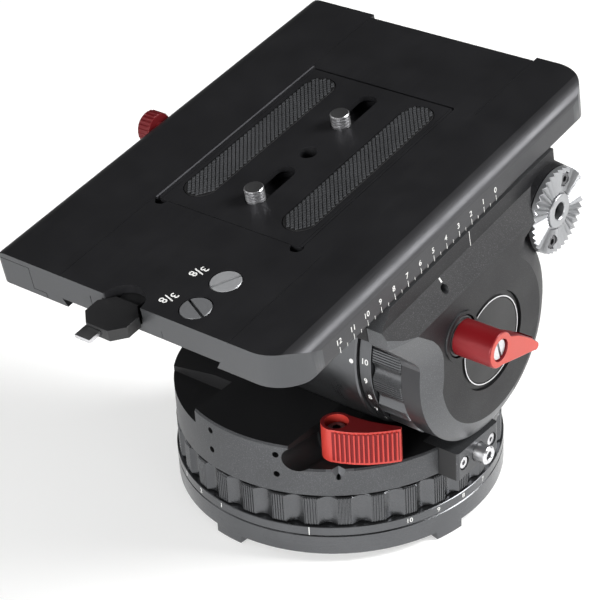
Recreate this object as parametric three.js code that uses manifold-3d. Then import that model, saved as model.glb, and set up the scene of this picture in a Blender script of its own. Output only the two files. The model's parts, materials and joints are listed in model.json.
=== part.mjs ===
// Fluid head for a film camera: base, pan unit, tilt unit and sliding platform.
// Millimetres, +Z up. The origin is the centre of the base's bottom face, on the pan axis.
// +X is the side with the tilt brake, -Y is the lens end.
import * as THREE from "three";
import { mergeVertices } from "three/addons/utils/BufferGeometryUtils.js";
import Module from "manifold-3d";

const wasm = await Module();
wasm.setup();

// Clearances and the cutters' overrun
const SEAT_GAP = 0.3;
const RUN_GAP = 0.4;
const OVERRUN = 3;

// Faces round a full circle
const FINE = 44;
const ROUND = 20;
const SMALL = 10;
const FLATS_SHARE = Math.cos(Math.PI / ROUND);

// Pan body, which the base, the dial and all that stands on the body follow
const PAN_BODY_RADIUS = 83;

// Base
const BASE_PROUD = 1.5;
const BASE_RADIUS = PAN_BODY_RADIUS + BASE_PROUD;
const BASE_RING_HEIGHT = 11;
const FOOT_INSET = 8.5;
const FOOT_RADIUS = BASE_RADIUS - FOOT_INSET;
const FOOT_HEIGHT = 4;
const TAB_WIDTH = 16;
const TAB_ANGLES = [-94, -13, 86, 167];
const BASE_SCREW_INSET = 30;
const BASE_SCREW_CIRCLE = FOOT_RADIUS - BASE_SCREW_INSET;
const BASE_SCREW_RADIUS = 4.2;
const BASE_SCREW_COUNT = 4;
const BASE_SCREW_DEPTH = 10;

// Pan spindle, cartridge and bearing
const SPINDLE_RADIUS = 14;
const SPINDLE_FLANGE_RADIUS = 30;
const SPINDLE_FLANGE_HEIGHT = 3;
const SPINDLE_LENGTH = 33;
const DIAL_WALL = 28;
const CARTRIDGE_RADIUS = PAN_BODY_RADIUS - DIAL_WALL;
const PAN_BEARING_RADIUS = 24;
const PAN_BEARING_HEIGHT = 8;

// Drag dials: a number ring and a scalloped grip ring
const NUMBER_RING_HEIGHT = 5.1;
const PAN_GRIP_PITCHES = 32;
const TILT_GRIP_PITCHES = 20;
const SCALLOP_SHARE = 0.6;
const SCALLOP_DEPTH = 2.4;
const SCALLOP_STEPS = 3;
const PAN_GRIP_HEIGHT = 16.4;
const PAN_GRIP_PROUD = 0.5;
const PAN_GRIP_RADIUS = PAN_BODY_RADIUS + PAN_GRIP_PROUD;
const TILT_DIAL_RADIUS = 52;
const TILT_GRIP_HEIGHT = 16.4;
const TILT_NUMBER_HEIGHT = 6.9;

// Levels and places of the pan body
const PAN_BODY_SHADOW_GAP = 0.6;
const LOW_WALL_HEIGHT = 15.7;
const SADDLE_RISE = 12.2;
const SADDLE_LEFT = 27;
const SADDLE_RIGHT = 34;
const SADDLE_FLANK = 4;
const POCKET_RISE = 4.5;
const WEDGE_FRONT = 50;
const WEDGE_REAR = 24;
const WEDGE_INNER = 38;
const FRONT_POCKET_INNER = 30;
const DIAL_CLEARANCE = 3;
const DIAL_FLOOR_GAP = 1.8;

// Lock block on the side of the pan body
const BLOCK_PROUD = 7.7;
const BLOCK_OUTER = PAN_BODY_RADIUS + BLOCK_PROUD;
const BLOCK_LENGTH = 20.4;
const BLOCK_INNER = BLOCK_OUTER - BLOCK_LENGTH;
const BLOCK_HALF_WIDTH = 17.2;
const BLOCK_MIDDLE_Y = -6.4;
const BLOCK_CHAMFER = 2;
const BLOCK_SCREW_RADIUS = 3.4;
const BLOCK_SCREW_OFFSET = 11.7;
const BLOCK_SCREW_DEPTH = 7;
const BLOCK_SCREW_SINK = 0.5;
const PIN_RADIUS = 4.75;
const PIN_REACH = 6.7;
const PIN_DEPTH = 9;
const PIN_HOLE_RADIUS = 2.1;
const PIN_HOLE_DEPTH = 5;

// Bubble level at the rear of the pan body
const BUBBLE_INSET = 19;
const BUBBLE_Y = PAN_BODY_RADIUS - BUBBLE_INSET;
const BEZEL_RADIUS = 11;
const BEZEL_WALL = 2;
const BEZEL_HEIGHT = 6;
const VIAL_HEIGHT = 5;

// Pan brake lever
const LEVER_PIVOT_INSET = 12;
const LEVER_PIVOT_ANGLE = -52.1;
const LEVER_REACH_X = 24.2;
const LEVER_REACH_Y = 13.3;
const LEVER_HEAD_RADIUS = 8;
const LEVER_TIP_RADIUS = 4;
const LEVER_HEIGHT = 15.5;
const LEVER_LIFT = 1.3;
const LEVER_SCREW_RADIUS = 4.6;
const LEVER_SCREW_SINK = 1.4;
const LEVER_SCREW_HEIGHT = 3;
const LEVER_FOOT_RADIUS = 5.5;
const LEVER_STEM_RADIUS = 3;
const LEVER_STEM_DEPTH = 6;

// Tilt core and what it holds; lengths run along X from the middle
const CORE_RADIUS = 54;
const CORE_HALF = 55;
const CORE_BORE = 42;
const CORE_FLANGE_LENGTH = 10;
const HUB_RADIUS = 30;
const SHAFT_RADIUS = 11;
const TILT_BEARING_RADIUS = 18;
const TILT_BEARING_LENGTH = 14;
const CARTRIDGE_SPLIT = 2;
const SHAFT_SINK = 9;

// Tilt frame, measured from the tilt axis in the frame's own level position
const REST_TILT = 9.1;
const FRAME_HALF_LENGTH = 73;
const PLATFORM_BOTTOM = 61.6;
const ARCH_GAP = 1.5;
const ARCH_END_HEIGHT = 36;
const BRIDGE_END_HEIGHT = 48;
const BRIDGE_HAUNCH_Y = 62;
const BRIDGE_HAUNCH_HEIGHT = 40;
const BAND_THICKNESS = 8.2;
const BAND_BOTTOM = 52;
const CHEEK_THICKNESS = 15.3;
const HOOD_BOTTOM = 41.5;
const HOOD_END_HEIGHT = 49;
const HOOD_KNEE_Y = 66;
const HOOD_KNEE_HEIGHT = 44;
const HOOD_FOOT_HEIGHT = 37;
const LOBE_RADIUS = 51.5;
const LOBE_ROUND_X = 4.9;
const LOBE_ROUND_R = 10;
const ROUND_STEPS = 3;
const RAIL_HALF_WIDTH = 44;
const RAIL_UNDERCUT = 2.5;
const CHANNEL_DEPTH = 4;

// Badge in the cheek, left bare
const BADGE_RECESS_RADIUS = 24.8;
const BADGE_RECESS_DEPTH = 2;
const BADGE_RING_WIDTH = 1.4;
const BADGE_RING_HEIGHT = 1.5;
const BADGE_DISC_HEIGHT = 1.2;

// Tilt brake
const BRAKE_Y = -22.5;
const BRAKE_Z = 20;
const BRAKE_BOSS_RADIUS = 12.4;
const BRAKE_BOSS_RISE = 0.8;
const BRAKE_RECESS_RADIUS = 10.6;
const BRAKE_RECESS_DEPTH = 4.2;
const COLLAR_HEIGHT = 3.4;
const KNOB_RADIUS = 8.85;
const KNOB_LENGTH = 21;
const KNOB_STEM_RADIUS = 5;
const KNOB_STEM_DEPTH = 8;
const WING_ANGLE = -34;
const WING_REACH = 35.2;
const WING_TIP_RADIUS = 2.2;
const WING_THICKNESS = 9;
const KNOB_SCREW_RADIUS = 4.6;
const KNOB_SCREW_SINK = 1.6;
const KNOB_SCREW_HEIGHT = 3;

// Screwdriver slots
const SLOT_WIDTH = 1.2;
const SLOT_DEPTH = 1.2;

// Handle rosettes
const ROSETTE_Y = 63;
const ROSETTE_Z = 33.6;
const ROSETTE_RADIUS = 21.6;
const ROSETTE_PROUD = 0.7;
const ROSETTE_THICKNESS = 4;
const ROSETTE_TEETH = 36;
const TOOTH_DEPTH = 1.9;
const TOOTH_INNER_RADIUS = 9.5;
const ROSETTE_RING_RADIUS = 8.6;
const ROSETTE_HOLE_RADIUS = 4.3;
const ROSETTE_HOLE_DEPTH = 9;
const ROSETTE_SCREW_CIRCLE = 15.6;
const ROSETTE_SCREW_RADIUS = 3.4;
const ROSETTE_SCREW_SINK = 2;
const ROSETTE_SCREW_LENGTH = 5;
const ROSETTE_SCREW_STEM = 1.8;
const ROSETTE_SCREW_ANGLE = 62;
const ROSETTE_BOSS_FLARE = 1.4;
const ROSETTE_SPOT_GAP = 0.6;

// Platform
const PLATFORM_FRONT = -127.3;
const PLATFORM_REAR = 113.4;
const PLATFORM_THICKNESS = 17.9;
const PLATFORM_CORNER_RADIUS = 21;
const PLATFORM_LEFT_CORNER_RADIUS = 4.8;
const BULLNOSE_WIDTH = 8;
const BULLNOSE_DROP = 6.5;
const UNDER_EDGE_ROUND = 3;
const CLAMP_TOP_DROP = 2.9;
const CLAMP_WIDTH = 22.4;
const CLAMP_FOOT_LIP = 8;
const CLAMP_FOOT_RISE = 3.3;

// Camera plate and its screws
const PLATE_HALF_WIDTH = 42.3;
const PLATE_FRONT = -61;
const PLATE_REAR = 58.5;
const PLATE_THICKNESS = 5.9;
const PLATE_PROUD = 0.1;
const PLATE_CORNER = 1.5;
const PAD_WIDTH = 17;
const PAD_OFFSET = 29.5;
const PAD_FRONT = -53;
const PAD_REAR = 54;
const PAD_RECESS = 1.2;
const PAD_PROUD = 0.6;
const STUD_RADIUS = 4.75;
const STUD_PROUD = 6.2;
const SLOT_HALF_WIDTH = 5;
const SLOT_FRONT_START = -46;
const SLOT_FRONT_END = -14;
const SLOT_REAR_START = 20;
const SLOT_REAR_END = 51;
const HEAD_RADIUS = 7.5;
const HEAD_HEIGHT = 3.2;
const WASHER_RADIUS = 8;
const WASHER_THICKNESS = 0.8;
const LIP_THICKNESS = 2.6;
const UNDERCUT_MARGIN = 1;
const UNDER_POCKET_DEPTH = 2.6;
const CENTRE_HOLE_RADIUS = 4.5;
const CENTRE_HOLE_Y = -1;

// Spare screws in the platform
const SPARE_X = 26.6;
const SPARE_YS = [-95, -115.6];
const SPARE_RADIUS = 7.5;
const SPARE_DEPTH = 5;

// Plate lock knob on the left side
const LOCK_Y = -10;
const LOCK_DROP = 7.2;
const LOCK_RADIUS = 9;
const LOCK_LENGTH = 8.5;
const LOCK_STEM_RADIUS = 4;
const LOCK_STEM_LENGTH = 24;
const LOCK_EDGE = 1.2;

// Screw key in the front end
const KEY_X = -8;
const KEY_DROP = 6.4;
const KEY_HALF_WIDTH = 12.5;
const KEY_LENGTH = 20;
const KEY_THICKNESS = 6;
const KEY_SEAT = 4;
const KEY_CORNER = 6;
const KEY_TONGUE_HALF_WIDTH = 6;
const KEY_TONGUE_LENGTH = 20;
const KEY_TONGUE_THICKNESS = 3;
const BLADE_SHIFT = -3;
const BLADE_HALF_WIDTH = 4.5;
const BLADE_REACH = 7;
const BLADE_SEAT = 8;
const BLADE_THICKNESS = 2;
const THUMB_RADIUS = 11;
const THUMB_X = -6.6;

// Heights of the pan unit
const BASE_TOP = FOOT_HEIGHT + BASE_RING_HEIGHT;
const DIAL_BOTTOM = BASE_TOP + RUN_GAP;
const NUMBER_TOP = DIAL_BOTTOM + NUMBER_RING_HEIGHT;
const GRIP_BOTTOM = NUMBER_TOP + SEAT_GAP;
const GRIP_TOP = GRIP_BOTTOM + PAN_GRIP_HEIGHT;
const BODY_BOTTOM = GRIP_TOP + PAN_BODY_SHADOW_GAP;
const LOW_TOP = BODY_BOTTOM + LOW_WALL_HEIGHT;
const HIGH_TOP = LOW_TOP + SADDLE_RISE;
const TILT_AXIS_Z = LOW_TOP + TILT_DIAL_RADIUS + DIAL_FLOOR_GAP;
const SPINDLE_BOTTOM = BASE_TOP + SEAT_GAP;
const CARTRIDGE_BOTTOM = SPINDLE_BOTTOM + SPINDLE_FLANGE_HEIGHT + SEAT_GAP;
const DIAL_INNER_RADIUS = (CARTRIDGE_RADIUS + RUN_GAP) / FLATS_SHARE;

// The pan brake lever's pivot and tip
const pivotCircle = PAN_BODY_RADIUS - LEVER_PIVOT_INSET;
const LEVER_PIVOT_X = pivotCircle * Math.cos((Math.PI * LEVER_PIVOT_ANGLE) / 180);
const LEVER_PIVOT_Y = pivotCircle * Math.sin((Math.PI * LEVER_PIVOT_ANGLE) / 180);
const LEVER_TIP_X = LEVER_PIVOT_X + LEVER_REACH_X;
const LEVER_TIP_Y = LEVER_PIVOT_Y + LEVER_REACH_Y;

// Places along X in the tilt unit
const TILT_NUMBER_START = CORE_HALF + SEAT_GAP;
const TILT_GRIP_START = TILT_NUMBER_START + TILT_NUMBER_HEIGHT + SEAT_GAP;
const TILT_GRIP_END = TILT_GRIP_START + TILT_GRIP_HEIGHT;
const CHEEK_INNER = TILT_GRIP_END + SEAT_GAP;
const BAND_SIDE = CHEEK_INNER + BAND_THICKNESS;
const CHEEK_OUTER = CHEEK_INNER + CHEEK_THICKNESS;
const ROSETTE_FACE = CHEEK_OUTER + ROSETTE_PROUD;
const ROSETTE_BACK = ROSETTE_FACE - ROSETTE_THICKNESS;
const CLAMP_INNER = BAND_SIDE - CLAMP_WIDTH;
const CLAMP_FOOT_INNER = CLAMP_INNER - CLAMP_FOOT_LIP;

// Heights above the tilt axis
const BRIDGE_TOP = PLATFORM_BOTTOM - SEAT_GAP;
const PLATFORM_TOP = PLATFORM_BOTTOM + PLATFORM_THICKNESS;
const PLATE_TOP = PLATFORM_TOP + PLATE_PROUD;
const PLATE_BOTTOM = PLATE_TOP - PLATE_THICKNESS;
const LIP_BOTTOM = PLATE_TOP - LIP_THICKNESS;
const WASHER_TOP = LIP_BOTTOM - SEAT_GAP;
const HEAD_TOP = WASHER_TOP - WASHER_THICKNESS - SEAT_GAP;
const KEY_Z = PLATFORM_TOP - KEY_DROP;
const LOCK_Z = PLATFORM_TOP - LOCK_DROP;

// Finishes as they look in daylight
const finish = (color, roughness, metalness) =>
  new THREE.MeshStandardMaterial({ color, roughness, metalness });
const BLACK_SATIN = finish(0x202123, 0.45, 0.3);
const BLACK_MATTE = finish(0x161617, 0.6, 0.1);
const GREY_SATIN = finish(0x6d6e70, 0.4, 0.6);
const SILVER = finish(0xc9cacc, 0.3, 0.9);
const RED_MATTE = finish(0xd03a35, 0.5, 0.1);
const RUBBER = finish(0x26272a, 0.85, 0);
const BRASS = finish(0xa98a4c, 0.35, 0.9);
const VIAL_GREEN = finish(0xa9c94a, 0.1, 0);

// A closed geometry as a solid whose faces point outwards
function solid(geometry) {
  const bare = geometry.index ? geometry.toNonIndexed() : geometry.clone();
  bare.deleteAttribute("normal");
  bare.deleteAttribute("uv");
  const merged = mergeVertices(bare);
  const places = merged.getAttribute("position").array;
  const corners = merged.index.array;
  const kept = [];
  let volume = 0;
  for (let i = 0; i < corners.length; i += 3) {
    const [a, b, c] = [corners[i], corners[i + 1], corners[i + 2]];
    if (a === b || b === c || c === a) continue;
    kept.push([a, b, c]);
    const [p, q, r] = [a, b, c].map((k) => new THREE.Vector3().fromArray(places, k * 3));
    volume += p.dot(q.cross(r));
  }
  const turned = volume < 0 ? kept.map(([a, b, c]) => [a, c, b]) : kept;
  return new wasm.Manifold(
    new wasm.Mesh({
      numProp: 3,
      vertProperties: Float32Array.from(places),
      triVerts: Uint32Array.from(turned.flat()),
    }),
  );
}

// A solid's surface as a geometry
function surface(body) {
  const { vertProperties, triVerts } = body.getMesh();
  const geometry = new THREE.BufferGeometry();
  geometry.setAttribute("position", new THREE.BufferAttribute(Float32Array.from(vertProperties), 3));
  geometry.setIndex(new THREE.BufferAttribute(Uint32Array.from(triVerts), 1));
  geometry.computeVertexNormals();
  return geometry;
}

const joined = (first, ...rest) => rest.reduce((sum, next) => sum.add(next), first);
const cut = (first, ...rest) => rest.reduce((left, next) => left.subtract(next), first);
const placed = (geometry, x, y, z) => geometry.translate(x, y, z);
const radians = THREE.MathUtils.degToRad;

// The mirror image of a solid across the YZ plane
const mirrored = (body) => solid(surface(body).scale(-1, 1, 1));

function shapeOf(points) {
  return new THREE.Shape(points.map(([x, y]) => new THREE.Vector2(x, y)));
}

// Prisms of a flat outline: XY along Z, YZ along X, XZ along Y
function prismZ(shape, low, high, curveSegments = SMALL) {
  const geometry = new THREE.ExtrudeGeometry(shape, {
    depth: high - low,
    bevelEnabled: false,
    curveSegments,
  });
  return solid(placed(geometry, 0, 0, low));
}

function prismX(shape, low, high, curveSegments = SMALL) {
  const geometry = new THREE.ExtrudeGeometry(shape, {
    depth: high - low,
    bevelEnabled: false,
    curveSegments,
  });
  const axes = new THREE.Matrix4().makeBasis(
    new THREE.Vector3(0, 1, 0),
    new THREE.Vector3(0, 0, 1),
    new THREE.Vector3(1, 0, 0),
  );
  return solid(placed(geometry.applyMatrix4(axes), low, 0, 0));
}

function prismY(shape, low, high, curveSegments = SMALL) {
  const geometry = new THREE.ExtrudeGeometry(shape, {
    depth: high - low,
    bevelEnabled: false,
    curveSegments,
  });
  const axes = new THREE.Matrix4().makeBasis(
    new THREE.Vector3(1, 0, 0),
    new THREE.Vector3(0, 0, 1),
    new THREE.Vector3(0, -1, 0),
  );
  return solid(placed(geometry.applyMatrix4(axes), 0, high, 0));
}

// A block between two corners
function block(x0, x1, y0, y1, z0, z1) {
  const geometry = new THREE.BoxGeometry(x1 - x0, y1 - y0, z1 - z0);
  return solid(placed(geometry, (x0 + x1) / 2, (y0 + y1) / 2, (z0 + z1) / 2));
}

// A body of revolution: profile points are [radius, height], closed on the axis or on itself
function revolveZ(profile, faces) {
  const points = profile.map(([radius, height]) => new THREE.Vector2(radius, height));
  return new THREE.LatheGeometry(points, faces).rotateX(Math.PI / 2);
}

const revolveX = (profile, faces) => revolveZ(profile, faces).rotateY(Math.PI / 2);

const rodProfile = (radius, low, high) => [
  [0, low],
  [radius, low],
  [radius, high],
  [0, high],
];

const tubeProfile = (inner, outer, low, high) => [
  [inner, low],
  [outer, low],
  [outer, high],
  [inner, high],
  [inner, low],
];

const rodZ = (radius, low, high, x = 0, y = 0, faces = SMALL) =>
  solid(placed(revolveZ(rodProfile(radius, low, high), faces), x, y, 0));
const rodX = (radius, low, high, y = 0, z = 0, faces = SMALL) =>
  solid(placed(revolveX(rodProfile(radius, low, high), faces), 0, y, z));
const tubeZ = (inner, outer, low, high, faces = ROUND) =>
  solid(revolveZ(tubeProfile(inner, outer, low, high), faces));
const tubeX = (inner, outer, low, high, faces = ROUND) =>
  solid(revolveX(tubeProfile(inner, outer, low, high), faces));

// A rectangle with round corners
function roundedRectangle(x0, x1, y0, y1, radius, leftRadius = radius) {
  const shape = new THREE.Shape();
  shape.moveTo(x0 + leftRadius, y0);
  shape.lineTo(x1 - radius, y0);
  shape.absarc(x1 - radius, y0 + radius, radius, -Math.PI / 2, 0, false);
  shape.lineTo(x1, y1 - radius);
  shape.absarc(x1 - radius, y1 - radius, radius, 0, Math.PI / 2, false);
  shape.lineTo(x0 + leftRadius, y1);
  shape.absarc(x0 + leftRadius, y1 - leftRadius, leftRadius, Math.PI / 2, Math.PI, false);
  shape.lineTo(x0, y0 + leftRadius);
  shape.absarc(x0 + leftRadius, y0 + leftRadius, leftRadius, Math.PI, Math.PI * 1.5, false);
  return shape;
}

// The outline round two circles, such as a lever's arm from its head to its tip
function taperedArm(x0, y0, radius0, x1, y1, radius1, steps = 12) {
  const heading = Math.atan2(y1 - y0, x1 - x0);
  const lean = Math.acos((radius0 - radius1) / Math.hypot(x1 - x0, y1 - y0));
  const points = [];
  for (let i = 0; i <= steps; i += 1) {
    const angle = heading + lean + ((2 * Math.PI - 2 * lean) * i) / steps;
    points.push([x0 + radius0 * Math.cos(angle), y0 + radius0 * Math.sin(angle)]);
  }
  for (let i = 0; i <= steps; i += 1) {
    const angle = heading - lean + (2 * lean * i) / steps;
    points.push([x1 + radius1 * Math.cos(angle), y1 + radius1 * Math.sin(angle)]);
  }
  return shapeOf(points);
}

// The grip ring's outline: scallops between lands, evenly round the circle
function gripOutline(radius, inner, pitches) {
  const pitch = (2 * Math.PI) / pitches;
  const points = [];
  for (let i = 0; i < pitches; i += 1) {
    for (let k = 0; k <= SCALLOP_STEPS; k += 1) {
      const share = k / SCALLOP_STEPS;
      const angle = pitch * (i + SCALLOP_SHARE * (share - 0.5));
      const depth = SCALLOP_DEPTH * Math.sin(Math.PI * share);
      points.push([(radius - depth) * Math.cos(angle), (radius - depth) * Math.sin(angle)]);
    }
    const land = pitch * (i + 0.5);
    points.push([radius * Math.cos(land), radius * Math.sin(land)]);
  }
  const shape = shapeOf(points);
  shape.holes.push(new THREE.Path().absarc(0, 0, inner, 0, 2 * Math.PI, true));
  return shape;
}


function baseFlange() {
  let body = joined(
    rodZ(FOOT_RADIUS, 0, BASE_TOP, 0, 0, FINE),
    tubeZ(FOOT_RADIUS - OVERRUN, BASE_RADIUS, FOOT_HEIGHT, BASE_TOP, FINE),
  );
  for (const angle of TAB_ANGLES) {
    const tab = new THREE.BoxGeometry(BASE_RADIUS, TAB_WIDTH, BASE_TOP);
    placed(tab, BASE_RADIUS / 2, 0, BASE_TOP / 2).rotateZ(radians(angle));
    body = body.add(solid(tab).intersect(rodZ(BASE_RADIUS, 0, BASE_TOP, 0, 0, FINE)));
  }
  for (let i = 0; i < BASE_SCREW_COUNT; i += 1) {
    const angle = radians(45) + (2 * Math.PI * i) / BASE_SCREW_COUNT;
    const [x, y] = [BASE_SCREW_CIRCLE * Math.cos(angle), BASE_SCREW_CIRCLE * Math.sin(angle)];
    body = cut(body, rodZ(BASE_SCREW_RADIUS, -OVERRUN, BASE_SCREW_DEPTH, x, y));
  }
  return body;
}

function panSpindle() {
  const flangeTop = SPINDLE_BOTTOM + SPINDLE_FLANGE_HEIGHT;
  const top = SPINDLE_BOTTOM + SPINDLE_LENGTH;
  const profile = [
    [0, SPINDLE_BOTTOM],
    [SPINDLE_FLANGE_RADIUS, SPINDLE_BOTTOM],
    [SPINDLE_FLANGE_RADIUS, flangeTop],
    [SPINDLE_RADIUS, flangeTop],
    [SPINDLE_RADIUS, top],
    [0, top],
  ];
  return solid(revolveZ(profile, SMALL));
}

function panBody() {
  const flank = SADDLE_RIGHT - SADDLE_FLANK;
  const saddle = prismY(
    shapeOf([
      [-SADDLE_LEFT, BODY_BOTTOM],
      [SADDLE_RIGHT, BODY_BOTTOM],
      [SADDLE_RIGHT, LOW_TOP],
      [flank, HIGH_TOP],
      [-SADDLE_LEFT, HIGH_TOP],
    ]),
    -PAN_BODY_RADIUS,
    PAN_BODY_RADIUS,
  );
  const wedge = prismY(
    shapeOf([
      [-PAN_BODY_RADIUS, BODY_BOTTOM],
      [-SADDLE_LEFT, BODY_BOTTOM],
      [-SADDLE_LEFT, HIGH_TOP],
      [-WEDGE_INNER, HIGH_TOP],
      [-PAN_BODY_RADIUS, LOW_TOP + POCKET_RISE],
    ]),
    -WEDGE_FRONT,
    -WEDGE_REAR,
  );
  const pocketFloor = block(
    -PAN_BODY_RADIUS,
    -SADDLE_LEFT + OVERRUN,
    -PAN_BODY_RADIUS,
    -WEDGE_FRONT,
    BODY_BOTTOM,
    LOW_TOP + POCKET_RISE,
  );
  const raised = joined(saddle, wedge, pocketFloor).intersect(
    rodZ(PAN_BODY_RADIUS, BODY_BOTTOM, HIGH_TOP, 0, 0, FINE),
  );
  const body = rodZ(PAN_BODY_RADIUS, BODY_BOTTOM, LOW_TOP, 0, 0, FINE).add(raised);
  const cradle = CORE_RADIUS + SEAT_GAP;
  const swept = TILT_DIAL_RADIUS + DIAL_CLEARANCE;
  const bearingTop = BODY_BOTTOM + PAN_BEARING_HEIGHT + SEAT_GAP;
  const spindleTop = SPINDLE_BOTTOM + SPINDLE_LENGTH + SEAT_GAP;
  const notch = block(
    BLOCK_INNER,
    PAN_BODY_RADIUS + OVERRUN,
    BLOCK_MIDDLE_Y - BLOCK_HALF_WIDTH - SEAT_GAP,
    BLOCK_MIDDLE_Y + BLOCK_HALF_WIDTH + SEAT_GAP,
    BODY_BOTTOM - OVERRUN,
    LOW_TOP + OVERRUN,
  );
  return cut(
    body,
    rodX(cradle, -CORE_HALF - SEAT_GAP, CORE_HALF + SEAT_GAP, 0, TILT_AXIS_Z, FINE),
    rodX(swept, -PAN_BODY_RADIUS, -CORE_HALF, 0, TILT_AXIS_Z, ROUND),
    rodX(swept, CORE_HALF, PAN_BODY_RADIUS, 0, TILT_AXIS_Z, ROUND),
    rodZ(PAN_BEARING_RADIUS + SEAT_GAP, BODY_BOTTOM - OVERRUN, bearingTop, 0, 0, ROUND),
    rodZ(SPINDLE_RADIUS + RUN_GAP, BODY_BOTTOM, spindleTop, 0, 0, ROUND),
    rodZ(BEZEL_RADIUS + SEAT_GAP, HIGH_TOP - BEZEL_HEIGHT, HIGH_TOP + OVERRUN, 0, BUBBLE_Y),
    notch,
    rodZ(LEVER_STEM_RADIUS + RUN_GAP, LOW_TOP - LEVER_STEM_DEPTH - RUN_GAP, HIGH_TOP, LEVER_PIVOT_X, LEVER_PIVOT_Y),
  );
}

function lockBlock() {
  const middle = (BODY_BOTTOM + LOW_TOP) / 2;
  const inner = BLOCK_INNER + SEAT_GAP;
  const front = BLOCK_MIDDLE_Y - BLOCK_HALF_WIDTH;
  const rear = BLOCK_MIDDLE_Y + BLOCK_HALF_WIDTH;
  const outline = shapeOf([
    [inner, front],
    [BLOCK_OUTER - BLOCK_CHAMFER, front],
    [BLOCK_OUTER, front + BLOCK_CHAMFER],
    [BLOCK_OUTER, rear - BLOCK_CHAMFER],
    [BLOCK_OUTER - BLOCK_CHAMFER, rear],
    [inner, rear],
  ]);
  const screwHole = (y) =>
    rodX(BLOCK_SCREW_RADIUS + SEAT_GAP, BLOCK_OUTER - BLOCK_SCREW_DEPTH, BLOCK_OUTER + OVERRUN, y, middle);
  return cut(
    prismZ(outline, BODY_BOTTOM, LOW_TOP),
    screwHole(BLOCK_MIDDLE_Y - BLOCK_SCREW_OFFSET),
    screwHole(BLOCK_MIDDLE_Y + BLOCK_SCREW_OFFSET),
    rodX(PIN_RADIUS + SEAT_GAP, BLOCK_OUTER - PIN_DEPTH, BLOCK_OUTER + OVERRUN, BLOCK_MIDDLE_Y, middle),
  );
}

// A screw head seen from +X with a star recess simplified to a round one
function blockScrew(y) {
  const middle = (BODY_BOTTOM + LOW_TOP) / 2;
  const top = BLOCK_OUTER - BLOCK_SCREW_SINK;
  const bottom = BLOCK_OUTER - BLOCK_SCREW_DEPTH + SEAT_GAP;
  return cut(
    rodX(BLOCK_SCREW_RADIUS, bottom, top, y, middle),
    rodX(BLOCK_SCREW_RADIUS / 2, top - SLOT_DEPTH, top + OVERRUN, y, middle, 6),
  );
}

function steelPin() {
  const middle = (BODY_BOTTOM + LOW_TOP) / 2;
  const tip = BLOCK_OUTER + PIN_REACH;
  return cut(
    rodX(PIN_RADIUS, BLOCK_OUTER - PIN_DEPTH + SEAT_GAP, tip, BLOCK_MIDDLE_Y, middle),
    rodX(PIN_HOLE_RADIUS, tip - PIN_HOLE_DEPTH, tip + OVERRUN, BLOCK_MIDDLE_Y, middle),
  );
}

function bubbleBezel() {
  const floor = HIGH_TOP - BEZEL_HEIGHT + SEAT_GAP;
  return cut(
    rodZ(BEZEL_RADIUS, floor, HIGH_TOP, 0, BUBBLE_Y),
    rodZ(BEZEL_RADIUS - BEZEL_WALL, HIGH_TOP - VIAL_HEIGHT, HIGH_TOP + OVERRUN, 0, BUBBLE_Y),
  );
}

const bubbleVial = () =>
  rodZ(
    BEZEL_RADIUS - BEZEL_WALL - SEAT_GAP,
    HIGH_TOP - VIAL_HEIGHT + SEAT_GAP,
    HIGH_TOP - SEAT_GAP,
    0,
    BUBBLE_Y,
  );

function panBrakeLever() {
  const bottom = LOW_TOP + LEVER_LIFT;
  const top = bottom + LEVER_HEIGHT;
  const arm = taperedArm(
    LEVER_PIVOT_X,
    LEVER_PIVOT_Y,
    LEVER_HEAD_RADIUS,
    LEVER_TIP_X,
    LEVER_TIP_Y,
    LEVER_TIP_RADIUS,
  );
  const sunk = top - LEVER_SCREW_SINK - LEVER_SCREW_HEIGHT;
  return cut(
    joined(
      prismZ(arm, bottom, top),
      rodZ(LEVER_FOOT_RADIUS, LOW_TOP + SEAT_GAP, bottom, LEVER_PIVOT_X, LEVER_PIVOT_Y),
      rodZ(LEVER_STEM_RADIUS, LOW_TOP - LEVER_STEM_DEPTH, bottom, LEVER_PIVOT_X, LEVER_PIVOT_Y),
    ),
    rodZ(LEVER_SCREW_RADIUS + SEAT_GAP, sunk, top + OVERRUN, LEVER_PIVOT_X, LEVER_PIVOT_Y),
  );
}

// A slotted screw head standing on its own low face
function slottedHeadZ(radius, low, high, x, y) {
  return cut(
    rodZ(radius, low, high, x, y),
    block(x - radius, x + radius, y - SLOT_WIDTH / 2, y + SLOT_WIDTH / 2, high - SLOT_DEPTH, high + OVERRUN),
  );
}

function panBrakeScrew() {
  const top = LOW_TOP + LEVER_LIFT + LEVER_HEIGHT - LEVER_SCREW_SINK;
  const low = top - LEVER_SCREW_HEIGHT + SEAT_GAP;
  return slottedHeadZ(LEVER_SCREW_RADIUS, low, top, LEVER_PIVOT_X, LEVER_PIVOT_Y);
}

// Hub of the right side: a flange inside the core and a journal for the dial
function hub() {
  const flangeStart = CORE_HALF - CORE_FLANGE_LENGTH;
  const flange = CORE_BORE - SEAT_GAP;
  const bore = TILT_BEARING_RADIUS + SEAT_GAP;
  const bearingFloor = TILT_GRIP_END - TILT_BEARING_LENGTH - SEAT_GAP;
  const shaftBore = SHAFT_RADIUS + RUN_GAP;
  const profile = [
    [shaftBore, flangeStart],
    [flange, flangeStart],
    [flange, CORE_HALF],
    [HUB_RADIUS, CORE_HALF],
    [HUB_RADIUS, TILT_GRIP_END],
    [bore, TILT_GRIP_END],
    [bore, bearingFloor],
    [shaftBore, bearingFloor],
    [shaftBore, flangeStart],
  ];
  return solid(revolveX(profile, ROUND));
}

const tiltBearing = () =>
  tubeX(SHAFT_RADIUS + SEAT_GAP, TILT_BEARING_RADIUS, TILT_GRIP_END - TILT_BEARING_LENGTH, TILT_GRIP_END);

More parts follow.
